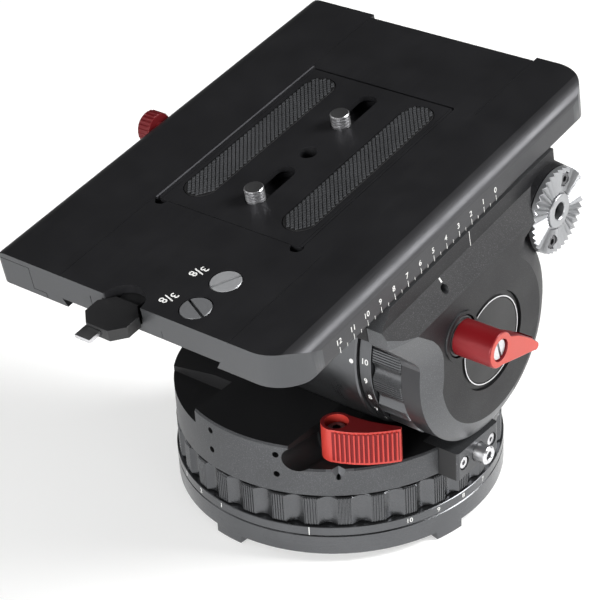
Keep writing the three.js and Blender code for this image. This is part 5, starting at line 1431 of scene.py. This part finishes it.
    def _rosette(self, side: int, name: str) -> None:
        """One toothed rosette and its two screws."""
        face, back, half = self.face, self.back, 180 / self.teeth
        rim = [(4.3, back), (21.2, back), (21.6, back + 0.4)]
        crest = [*rim, (21.6, face - 0.35), (21.2, face), (9.6, face - 0.45)]
        root = [*rim, (21.6, face - 2.1), (21.4, face - 2.0), (9.6, face - 1.45)]
        hub = raised([(9.3, -1.5), (8.7, -1.5), (8.6, -0.3), (8.3, 0), (4.8, 0), (4.3, -0.5)], face)
        tooth = ((-half, root), (0.0, crest), (half, root))
        points = [(x, *polar(r, turn)) for turn, row in tooth for r, x in row + hub]
        disc = self.round_row(Solid.strip(points, len(root + hub)), self.teeth, Axis.X)
        origin = (0, *self.rosette)
        disc = disc.moved(placed(origin))
        places = self._screw_places()
        for place in places.values():
            disc = disc.cut(Solid.rod(3.7, face - 3, face + 3, Axis.X, place, 40))
        metal = ("tilt_frame", "bright_aluminium", [ROSETTE_METAL], [f"{name}_rosette"])
        self.show(f"{name}_rosette_disc", disc.on_side(side), *metal, centre=origin, smooth=20)
        profile = raised([(0, -2.7), (3.4, -2.7), (3.4, -1.4), (3.0, -0.95), (0, -0.95)], face)
        for label, place in places.items():
            recess = Solid.prism(star(6, (1.7,), place), face - 2.2, face, Axis.X)
            screw = Solid.lathe(profile, Axis.X, place, 40).cut(recess).on_side(side)
            node = f"{name}_rosette_screw_{label}"
            self.show(node + "_head", screw, "tilt_frame", "black_metal", [DARK_STEEL], [node])


# sliding platform


@dataclass
class Platform(Assembly):
    """The sliding platform, its clamp rail, marks, spare screws, key and lock knob."""

    side: float = 87.4
    under: float = 61.6
    top: float = 79.5
    front: float = -127.3
    rear: float = 113.4
    corner: float = 21.0
    left_corner: float = 4.8
    nose: Point = (8.0, 6.5)
    clamp_inner: float = 65.0
    seat_half: float = 42.6
    seat_front: float = -61.3
    seat_rear: float = 59.9
    seat_floor: float = 73.4
    zero: float = 24.5
    spare_x: float = 26.6
    spares: Point = (-95.0, -115.6)
    key_drop: float = 6.4
    key_nose: float = -143.3
    lock_place: float = -10.0
    lock_drop: float = 7.2

    def build(self) -> None:
        """Makes the platform and what is fixed to it."""
        self._platform()
        self._scale()
        self._spares()
        self._key()
        self._lock()

    def _blank(self) -> Solid:
        """The platform's section cut to its rounded plan."""
        s, under, top, (wide, drop) = self.side, self.under, self.top, self.nose
        section = arc((s - 3, under + 3), 3, -90, 0, 8)
        section += arc((s - wide, top - drop), wide, 0, 90, 20, drop / wide)
        section += arc((-s + wide, top - drop), wide, 90, 180, 20, drop / wide)
        section += arc((-s + 3, under + 3), 3, 180, 270, 8)
        bar = Solid.prism(section, self.front - 2, self.rear + 2, Axis.Y)
        c, left = self.corner, self.left_corner
        plan = [(-s, self.front, left), (s, self.front, c), (s, self.rear, c), (-s, self.rear, left)]
        return bar.meet(Solid.prism(rounded(plan, 24), under - 1, top + 1, Axis.Z))

    def _along(self, outline: Sequence[Point]) -> Solid:
        """An outline drawn out past both ends of the platform."""
        return Solid.prism(outline, self.front - 3, self.rear + 3, Axis.Y)

    def _clamp(self, gap: float) -> Solid:
        """Where the left clamp rail is, grown by a gap."""
        s, u, inner = self.side, self.under, -self.clamp_inner + gap
        top, foot = self.top - 2.9 + gap, u + 3.3 + gap
        outline = [(-s - 3, u - 3), (inner + 8, u - 3), (inner + 8, foot), (inner, foot), (inner, top)]
        return self._along([*outline, (-s - 3, top)])

    def _lock_bore(self) -> Solid:
        """Where the lock knob's stem runs through the clamp rail."""
        return Solid.rod(4.4, -90, -63, Axis.X, (self.lock_place, self.top - self.lock_drop), 40)

    def _platform(self) -> None:
        """The platform's body and its clamp rail."""
        under, top, front, rear, half = self.under, self.top, self.front, self.rear, self.seat_half
        low, y0, y1 = under + 4, self.seat_front, self.seat_rear
        channel = [(-44.4, under - 3), (44.4, under - 3), (44.4, under), (46.9, low), (-46.9, low)]
        seat = [(-half, y0, 1.8), (half, y0, 1.8), (half, y1, 1.8), (-half, y1, 1.8)]
        key_z = top - self.key_drop
        body = self._blank().cut(
            self._clamp(0.0),
            self._along([*channel, (-44.4, under)]),
            Solid.prism(rounded(seat, 5), self.seat_floor, top + 3, Axis.Z),
            Solid.prism(stadium(9, -50, -10), 70.8, 74, Axis.Z),
            Solid.prism(stadium(9, 16, 55), 70.8, 74, Axis.Z),
            Solid.prism(self._key_outline(0.4), key_z - 3.4, key_z + 3.4, Axis.Z),
            Solid.block((-14.4, front, key_z - 1.9), (-1.6, -103, key_z + 1.9)),
            Solid.rod(11, key_z, top + 3, Axis.Z, (-6.6, front), 96),
            self._lock_bore(),
            *(Solid.rod(7.8, top - 5.3, top + 3, Axis.Z, (self.spare_x, y), 72) for y in self.spares),
        )
        spans = ((front - 1, -61.6), (59.1, rear + 1))
        seams = [((x - 0.16, a), (x + 0.16, b)) for x in (-44.7, 54.2) for a, b in spans]
        body = body.cut(
            *(Solid.block((*a, top - 0.25), (*b, top + 1)) for a, b in seams),
            Solid.block((14.2, front - 1, under + 3), (14.5, front + 0.5, top - 9.5)),
            Solid.block((-27.2, front - 1, under + 3), (-26.8, front + 0.5, top - 5)),
            Solid.block((-44.6, rear - 3, top - 9), (54.1, rear + 3, top + 3)),
            *(Solid.rod(3.4, top - 3, top + 3, Axis.Z, (x, -61.6), 40) for x in (40.2, -40.2)),
        )
        strip = Solid.block((-43.7, -61.5, top - 1), (-42.7, 60.2, top + 0.5))
        # Slot 1 on the rounded edges is a lighter copy of the black: partly wear, partly a painted highlight.
        body = body.join(strip).tidy().bevelled(0.4, 2, 34, 1)
        rides, slot, finishes = "sliding_platform", "black_anodised", [DECK_BLACK, DECK_BLACK.rubbed(6.0)]
        finishes += [END_LIT_GREY, SIDE_BLACK, NOSE_HIGHLIGHT_BLACK]
        self.show("platform_deck", self.paint(body, self._skin), rides, slot, finishes, ["platform"])
        clamp = self._blank().meet(self._clamp(-0.3)).cut(self._lock_bore())
        clamp = self.paint(clamp.tidy().bevelled(0.3, 2, 34, 1), self._skin)
        self.show("clamp_rail", clamp, rides, "grey_anodised", finishes, ["left_clamp_rail"])

    def _skin(self, centre: Vector, normal: Vector) -> int | None:
        """The end faces and round corners take a lighter grey as painted light where the front light falls, the
        sides black and the rounded right edge a painted highlight.
        """
        corner = self.corner if centre.x > 0 else self.left_corner
        end = min(centre.y - self.front, self.rear - centre.y)
        round_corner = end < corner and abs(centre.x) > self.side - corner - 0.5
        # End faces and round corners: painted light.
        if abs(normal.z) < 0.35 and (end < 0.6 or round_corner):
            return 2
        if abs(normal.x) > 0.98 and abs(centre.x) > self.side - 1:
            return 3
        # Rounded right edge: painted highlight.
        if centre.x > self.side - self.nose[0] and normal.z > 0.1:
            return 4
        return 1 if centre.z > self.top + 0.1 else None

    def _scale(self) -> None:
        """The balance scale in centimetres on the right side and the two thread-size prints."""
        side, zero, rides, slot = self.side, self.zero, "sliding_platform", "black_anodised"
        rows = []
        for half, high, count, first in ((0.14, 66.2, 13, zero), (0.12, 64.9, 12, zero - 5)):
            tick = Solid.block((0, -half, 63.0), (0.07, half, high))
            place = {"shift": (0, -10, 0), "first_shift": (side, first, 0)}
            rows.append(self.repeater.repeat(tick, None, count=count, **place))
        upright = Matrix(((0, 0, 1, 0), (1, 0, 0, 0), (0, 1, 0, 0), (0, 0, 0, 1)))
        for value in range(13):
            place = placed((side + 0.03, zero - 10 * value, 69.0)) @ upright
            rows.append(lettering(str(value), 4.0, bold=0.03).moved(place))
        self.show("balance_scale", Solid.group(rows), rides, slot, [PRINT_WHITE])
        sizes, signs = [], (("3", -2.4, 1.3, 6.0), ("/", 0.0, 0.0, 8.0), ("8", 2.4, -1.3, 6.0))
        for y in self.spares:
            turned = placed((11.1, y - 0.4, self.top + 0.02), -90)
            for text, across, up, size in signs:
                sizes.append(lettering(text, size, bold=0.06).moved(turned @ placed((across, up, 0))))
        self.show("thread_size_prints", Solid.group(sizes), rides, slot, [PRINT_WHITE])

    def _spares(self) -> None:
        """The two spare screws in the deck."""
        top, x, profile = self.top, self.spare_x, head_profile(7.5, self.top - 5, self.top - 0.15, 0.5)
        for label, y, turn, finish in zip("ab", self.spares, (61, -25.5), (PLATED_STEEL, AGED_STEEL)):
            slot = Solid.block((-9, -0.75, top - 2.0), (9, 0.75, top + 1)).moved(placed((x, y, 0), turn))
            body = Solid.lathe(profile, Axis.Z, (x, y), 96).cut(slot)
            name, steel = f"spare_screw_{label}", ("sliding_platform", "bright_steel", [finish])
            self.show(name + "_head", body, *steel, [name], centre=(x, y, 0))

    def _key_outline(self, grown: float) -> list[Point]:
        """The octagonal head of the screw key."""
        x0, x1, cut = -20.5 - grown, 4.5 + grown, 6
        y0, y1 = self.key_nose - grown, self.key_nose + 20 + grown
        outline = [(x0 + cut, y0), (x1 - cut, y0), (x1, y0 + cut), (x1, y1 - cut)]
        return outline + [(x1 - cut, y1), (x0 + cut, y1), (x0, y1 - cut), (x0, y0 + cut)]

    def _key(self) -> None:
        """The screw key with its moulded head and steel blade."""
        middle, nose, front = self.top - self.key_drop, self.key_nose, self.front
        head = Solid.prism(self._key_outline(0), middle - 3, middle + 3, Axis.Z)
        head = head.join(Solid.block((-14, front, middle - 1.5), (-2, front + 24, middle + 1.5)))
        head = head.cut(Solid.block((-15.8, nose - 2, middle - 1.3), (-6.2, nose + 8.3, middle + 1.3)))
        head = head.tidy().bevelled(1.0, 3, 34)
        self.show("key_grip", head, "screw_key", "black_moulded", [MOULDED_BLACK], ["key_head"])
        blade = Solid.block((-15.5, nose - 7, middle - 1), (-6.5, nose + 8, middle + 1)).bevelled(0.25, 2, 34)
        steel = ("screw_key", "bright_steel", [BRIGHT_STEEL], ["key_blade"])
        self.show("key_steel_blade", blade, *steel, centre=(-11, nose, middle))

    def _lock(self) -> None:
        """The red lock knob on the left, with its fluted rim."""
        start, end = self.side + 0.4, self.side + 8.9
        place = (0, self.lock_place, self.top - self.lock_drop)
        knob = [(0, start), (8.0, start), (8.5, start + 0.6), (8.5, end - 1.6), (7.0, end - 0.2)]
        knob = Solid.lathe([*knob, (5.6, end - 0.2), (5.2, end - 1), (0, end - 1)], Axis.X, (0, 0), 120)
        flute = Solid.rod(1.0, start - 1, end + 1, Axis.X, (9.0, 0), 12)
        knob = knob.cut(self.repeater.repeat(flute, None, count=24, turn=(15, 0, 0)))
        knob = knob.join(Solid.rod(4, start - 24, start + 1, Axis.X, steps=40))
        knob = knob.moved(placed(place)).on_side(-1)
        red = ("plate_lock", "red_anodised", [LOCK_RED], ["plate_lock_knob"])
        self.show("lock_knob", knob.tidy(), *red, centre=place)


@dataclass
class CameraPlate(Assembly):
    """The camera plate with its rubber pads and camera screws."""

    half_width: float = 42.3
    front: float = -61.0
    rear: float = 58.5
    top: float = 79.6
    thickness: float = 5.9
    slots: tuple[Point, Point] = ((-46.0, -14.0), (20.0, 51.0))
    slot_step: float = 2.6
    pad_place: float = 29.5
    pad_half: float = 8.5
    pad_front: float = -53.0
    pad_rear: float = 54.0
    pitch: float = 3.0
    row_pitch: float = 1.2
    thread_pitch: float = 1.5875

    def build(self) -> None:
        """Makes the plate, the pads and both screws."""
        self._plate()
        for x, name in ((-self.pad_place, "left"), (self.pad_place, "right")):
            self._pad(x, name)
        for (start, _), name in zip(self.slots, ("front", "rear")):
            self._screw(start + 5.25, name)

    def _plate(self) -> None:
        """The plate with its slots, pad seats and centre hole."""
        w, top, low, y0, y1 = self.half_width, self.top, self.top - self.thickness, self.front, self.rear
        outline = rounded([(-w, y0, 1.5), (w, y0, 1.5), (w, y1, 1.5), (-w, y1, 1.5)], 5)
        plate = Solid.prism(outline, low, top, Axis.Z)
        for start, end in self.slots:
            plate = plate.cut(
                Solid.prism(stadium(5, start, end), low - 1, top + 1, Axis.Z),
                Solid.prism(stadium(9, start - 4, end + 4), low - 1, top - self.slot_step, Axis.Z),
            )
        for x in (-self.pad_place, self.pad_place):
            seat = stadium(self.pad_half + 0.4, self.pad_front - 0.4, self.pad_rear + 0.4, x, 24)
            plate = plate.cut(Solid.prism(seat, top - 1.2, top + 1, Axis.Z))
        plate = plate.cut(
            Solid.rod(4.5, low - 1, top + 1, Axis.Z, (0, -1), 64),
            *(Solid.block((x - 0.12, y0 - 1, top - 0.3), (x + 0.12, y1 + 1, top + 1)) for x in (-40.7, 40.9)),
        )
        # The plate's rounded edges take a lighter copy of its black: partly wear, partly a painted highlight.
        plate, finishes = plate.tidy().bevelled(0.5, 2, 34, 1), [DECK_BLACK, DECK_BLACK.rubbed(9.0)]
        self.show("plate_body", plate, "sliding_platform", "black_anodised", finishes, ["camera_plate"])

    def _pad(self, x: float, name: str) -> None:
        """A rubber pad with its field of small raised lozenges."""
        top, half, room, pitch = self.top + 0.2, self.pad_half, self.pad_half - 1.2, self.pitch
        base = Solid.prism(stadium(half, self.pad_front, self.pad_rear, x, 24), self.top - 0.9, top, Axis.Z)
        feet = [(-0.95, 0, 0), (0, -1.25, 0), (0.95, 0, 0), (0, 1.25, 0)]
        crest = [(-0.6, 0, 0.45), (0, -0.8, 0.45), (0.6, 0, 0.45), (0, 0.8, 0.45)]
        faces = [(0, 1, 5, 4), (1, 2, 6, 5), (2, 3, 7, 6), (3, 0, 4, 7), (4, 5, 6, 7), (3, 2, 1, 0)]
        lozenge = Solid.from_faces(feet + crest, faces)
        rows: list[Solid] = []
        for k in range(-6, 7):
            across = k * self.row_pitch
            if abs(across) >= room:
                continue
            reach = math.sqrt(room**2 - across**2)
            low, high = self.pad_front + half - reach, self.pad_rear - half + reach
            offset = pitch / 2 if k % 2 else 0.0
            first = math.ceil((low - offset) / pitch) * pitch + offset
            place = {"shift": (0, pitch, 0), "first_shift": (x + across, first, top)}
            rows.append(self.repeater.repeat(lozenge, None, count=int((high - first) / pitch) + 1, **place))
        rides, slot = "sliding_platform", "pad_rubber"
        # The pad's rounded rim takes a lighter copy of the top finish: partly wear, partly a painted highlight.
        finishes = [PAD_RUBBER, PAD_TOP.rubbed(2.5)]
        self.show(f"pad_{name}_base", base.bevelled(0.4, 2, 34, 1), rides, slot, finishes, [f"pad_{name}"])
        self.show(f"pad_{name}_lozenges", Solid.group(rows), rides, slot, [PAD_TOP], smooth=25)

    def _screw(self, y: float, name: str) -> None:
        """A camera screw with its thread, and its washer."""
        top, washer_top = self.top, self.top - self.slot_step - 0.3
        head = washer_top - 1.1
        profile: list[Point] = [(0, head - 3.2), (7.5, head - 3.2), (7.5, head), (4.0, head)]
        z = head + 0.4
        while z < top + 4.6:
            profile += [(3.85, z), (4.75, z + 0.5), (4.75, z + 0.8), (3.85, z + 1.3)]
            z += self.thread_pitch
        profile += [(4.0, top + 5.2), (4.7, top + 5.35), (4.7, top + 5.8), (4.3, top + 6.2), (0, top + 6.2)]
        stud = Solid.lathe(profile, Axis.Z, (0, y), 72)
        steel = (f"{name}_camera_screw", "bright_steel", [BRIGHT_STEEL], [f"camera_screw_{name}"])
        self.show(f"camera_screw_{name}_stud", stud, *steel, centre=(0, y, 0), smooth=22)
        low = washer_top - 0.8
        ring = [(5.05, low), (8, low), (8, washer_top), (5.05, washer_top), (5.05, low)]
        metal = (f"{name}_washer", "black_metal", [DARK_STEEL], [f"screw_washer_{name}"])
        self.show(f"washer_{name}_ring", Solid.lathe(ring, Axis.Z, (0, y), 64), *metal)


# studio


@dataclass
class Studio:
    """A pale floor, soft light and the camera at the photograph's angle."""

    azimuth: float = 40.26
    elevation: float = 31.51
    roll: float = -3.43
    focal_pixels: float = 1969.06
    distance: float = 1023.52
    aim: Point = (-20.9, 70.04)
    aim_height: float = 15.0
    frame_pixels: int = 600
    floor_half: float = 6.0
    floor_height: float = -0.0005
    floor_shine: float = 0.3
    # Strength of the floor's glow in glossy rays, a painted reflection, and the heading it is brightest
    # towards.
    floor_gloss: float = 0.35
    bright_heading: Place = (0.64, -0.77, 0.0)
    soft_light: float = 0.24
    gloss_light: float = 0.22
    overhead: float = 0.06
    lamps: tuple[tuple[str, Place, float, float, float, float], ...] = (
        ("rear_softbox", (1.1, 0.85, 1.15), 0.14, 0.8, 0.8, 44.0),
        ("front_softbox", (0.2, -1.8, 0.6), 0.1, 1.1, 0.7, 44.0),
        ("side_softbox", (1.7, -0.6, 0.3), 0.1, 0.6, 0.5, 6.0),
        ("left_softbox", (-1.4, -0.9, 1.3), 0.1, 1.0, 1.0, 4.0),
    )

    def build(self) -> None:
        """Makes the floor, the world, the lamps and the camera."""
        self._floor()
        self._world()
        for lamp in self.lamps:
            self._lamp(*lamp)
        self._camera()
        bpy.context.scene.view_settings.view_transform = "Standard"

    def _floor(self) -> None:
        """The floor, which is white to the eye and keeps the shadow; in glossy reflections it also glows,
        brighter towards one side, as a painted reflection.
        """
        half = self.floor_half
        mesh = bpy.data.meshes.new("studio_floor")
        plan = [(x * half, y * half, self.floor_height) for x, y in ((-1, -1), (1, -1), (1, 1), (-1, 1))]
        mesh.from_pydata(plan, [], [(0, 1, 2, 3)])
        floor = bpy.data.objects.new("studio_floor", mesh)
        bpy.context.scene.collection.objects.link(floor)
        made = bpy.data.materials.new("studio_floor")
        made.use_nodes = True
        bench = Bench(made.node_tree)
        sees = self._background_ray(bench)
        paper = bench.signal("ShaderNodeBsdfDiffuse", {}, {"Color": tone(225, 225, 224)})
        gloss = Signal(bench, bench.node("ShaderNodeLightPath").outputs["Is Glossy Ray"])
        place = bench.signal("ShaderNodeTexCoord", {}, {}, "Object")
        heading = bench.vector("DOT_PRODUCT", bench.vector("NORMALIZE", place, place), self.bright_heading)
        heading = Signal(bench, heading.socket.node.outputs["Value"])
        # Painted reflection: the floor glows in glossy rays, more on the side towards one heading.
        glow_share = bench.between(heading, -0.1, 0.6)
        strength = sees * self.floor_shine + gloss * glow_share * self.floor_gloss
        shine = bench.signal("ShaderNodeEmission", {}, {"Color": (1.0, 1.0, 1.0), "Strength": strength})
        both = bench.signal("ShaderNodeAddShader", {}, {0: paper, 1: shine})
        bench.node("ShaderNodeOutputMaterial", {}, {"Surface": both})
        mesh.materials.append(made)
        floor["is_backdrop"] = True

    @staticmethod
    def _background_ray(bench: Bench) -> Signal:
        """1 for the rays that show the background, seen directly, in gloss or through glass."""
        path = bench.node("ShaderNodeLightPath")
        names = ("Is Camera Ray", "Is Glossy Ray", "Is Transmission Ray")
        direct, gloss, through = (Signal(bench, path.outputs[name]) for name in names)
        settings = {"operation": "ADD", "use_clamp": True}
        return bench.signal("ShaderNodeMath", settings, {0: direct + gloss, 1: through})

    def _world(self) -> None:
        """Soft light all round; the background is white low down and dim overhead in gloss."""
        world = bpy.data.worlds.new("studio_world")
        world.use_nodes = True
        bpy.context.scene.world = world
        bench = Bench(world.node_tree)
        direction = bench.signal("ShaderNodeTexCoord", {}, {}, "Generated")
        height = Signal(bench, bench.node("ShaderNodeSeparateXYZ", {}, {0: direction}).outputs[2])
        low = bench.between(height, 0.5, 0.15)
        path = bench.node("ShaderNodeLightPath")
        direct = Signal(bench, path.outputs["Is Camera Ray"])
        sees = self._background_ray(bench)
        show = bench.maths("MAXIMUM", low, direct)
        shine = direct + (1 - direct) * self.gloss_light
        seen = sees * shine * (show * (1 - self.overhead) + self.overhead)
        strength = seen + (1 - sees) * self.soft_light
        back = bench.signal("ShaderNodeBackground", {}, {"Color": (1.0, 1.0, 1.0), "Strength": strength})
        bench.node("ShaderNodeOutputWorld", {}, {"Surface": back})

    @staticmethod
    def _lamp(name: str, place: Place, aim: float, width: float, height: float, power: float) -> None:
        """One soft rectangular lamp that points at the middle of the head, at a height."""
        data = bpy.data.lights.new(name, "AREA")
        data.shape = "RECTANGLE"
        data.size, data.size_y = width, height
        data.energy = power
        lamp = bpy.data.objects.new(name, data)
        bpy.context.scene.collection.objects.link(lamp)
        lamp.location = place
        lamp.rotation_mode = "QUATERNION"
        lamp.rotation_quaternion = (Vector((0.0, 0.0, aim)) - Vector(place)).to_track_quat("-Z", "Y")

    def _camera(self) -> None:
        """The camera, from the fit of the photograph's perspective."""
        a, e, r = (math.radians(v) for v in (self.azimuth, self.elevation, self.roll))
        back = Vector((math.sin(a) * math.cos(e), -math.cos(a) * math.cos(e), math.sin(e)))
        right = (-back).cross(Vector((0, 0, 1))).normalized()
        up = right.cross(-back)
        across = right * math.cos(r) + up * math.sin(r)
        upright = up * math.cos(r) - right * math.sin(r)
        eye = back * self.distance + across * self.aim[0] + upright * self.aim[1]
        eye += Vector((0, 0, self.aim_height))
        data = bpy.data.cameras.new("photo_camera")
        data.sensor_width = 36.0
        data.lens = self.focal_pixels / self.frame_pixels * data.sensor_width
        data.clip_start, data.clip_end = 0.05, 50.0
        camera = bpy.data.objects.new("photo_camera", data)
        bpy.context.scene.collection.objects.link(camera)
        turn = Matrix((across, upright, back)).transposed().to_4x4()
        camera.matrix_world = Matrix.Translation(eye * MM) @ turn
        bpy.context.scene.camera = camera


# carried-over nodes


NODE_FINISHES: dict[str, Finish] = {
    "pan_spindle": DARK_STEEL,
    "pan_bearing": DARK_STEEL,
    "pan_fluid_cartridge": CARTRIDGE_BRASS,
    "tilt_fluid_cartridge": CARTRIDGE_BRASS,
    "counterbalance_springs": DARK_STEEL,
    "hub_right": DARK_STEEL,
    "hub_left": DARK_STEEL,
    "tilt_bearing_right": DARK_STEEL,
    "tilt_bearing_left": DARK_STEEL,
    "tilt_shaft": DARK_STEEL,
}


def dress_nodes(nodes: dict[str, bpy.types.Object], head: Unit) -> None:
    """Gives every CAD node a procedural material, also those that a piece stands for.

    Args:
        nodes: The CAD nodes by name.
        head: The head's level frame.
    """
    for name, node in nodes.items():
        finish = NODE_FINISHES.get(name, MOULDED_BLACK)
        for slot in node.material_slots:
            slot.material = finish.material(head)


def corners(box: tuple[Vector, Vector]) -> list[list[float]]:
    """A box's two corners as plain lists."""
    return [[float(c) for c in corner] for corner in box]


def main() -> None:
    """Loads the frame, builds the studio and every sub-assembly, and works out the bounds before and after."""
    logging.basicConfig(level=logging.INFO, format="%(name)s %(message)s")
    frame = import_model()
    cad_box = corners(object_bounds())
    axis_height = next(j["pos_m"][2] for j in frame["joints"] if j["name"] == "tilt_turn") / MM
    head = Unit("head")
    core = Unit("core", axis_height)
    tilt = Unit("tilt", axis_height, 9.1)
    dress_nodes(frame["nodes"], head)
    repeater = Repeater()
    Studio().build()
    for assembly in (
        PanBase(head, repeater),
        PanBody(head, repeater, axis_height=axis_height),
        TiltDials(core, repeater),
        TiltFrame(tilt, repeater),
        Platform(tilt, repeater),
        CameraPlate(tilt, repeater),
    ):
        assembly.build()
    {"cad": cad_box, "visual": corners(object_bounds())}


if __name__ == "__main__":
    main()
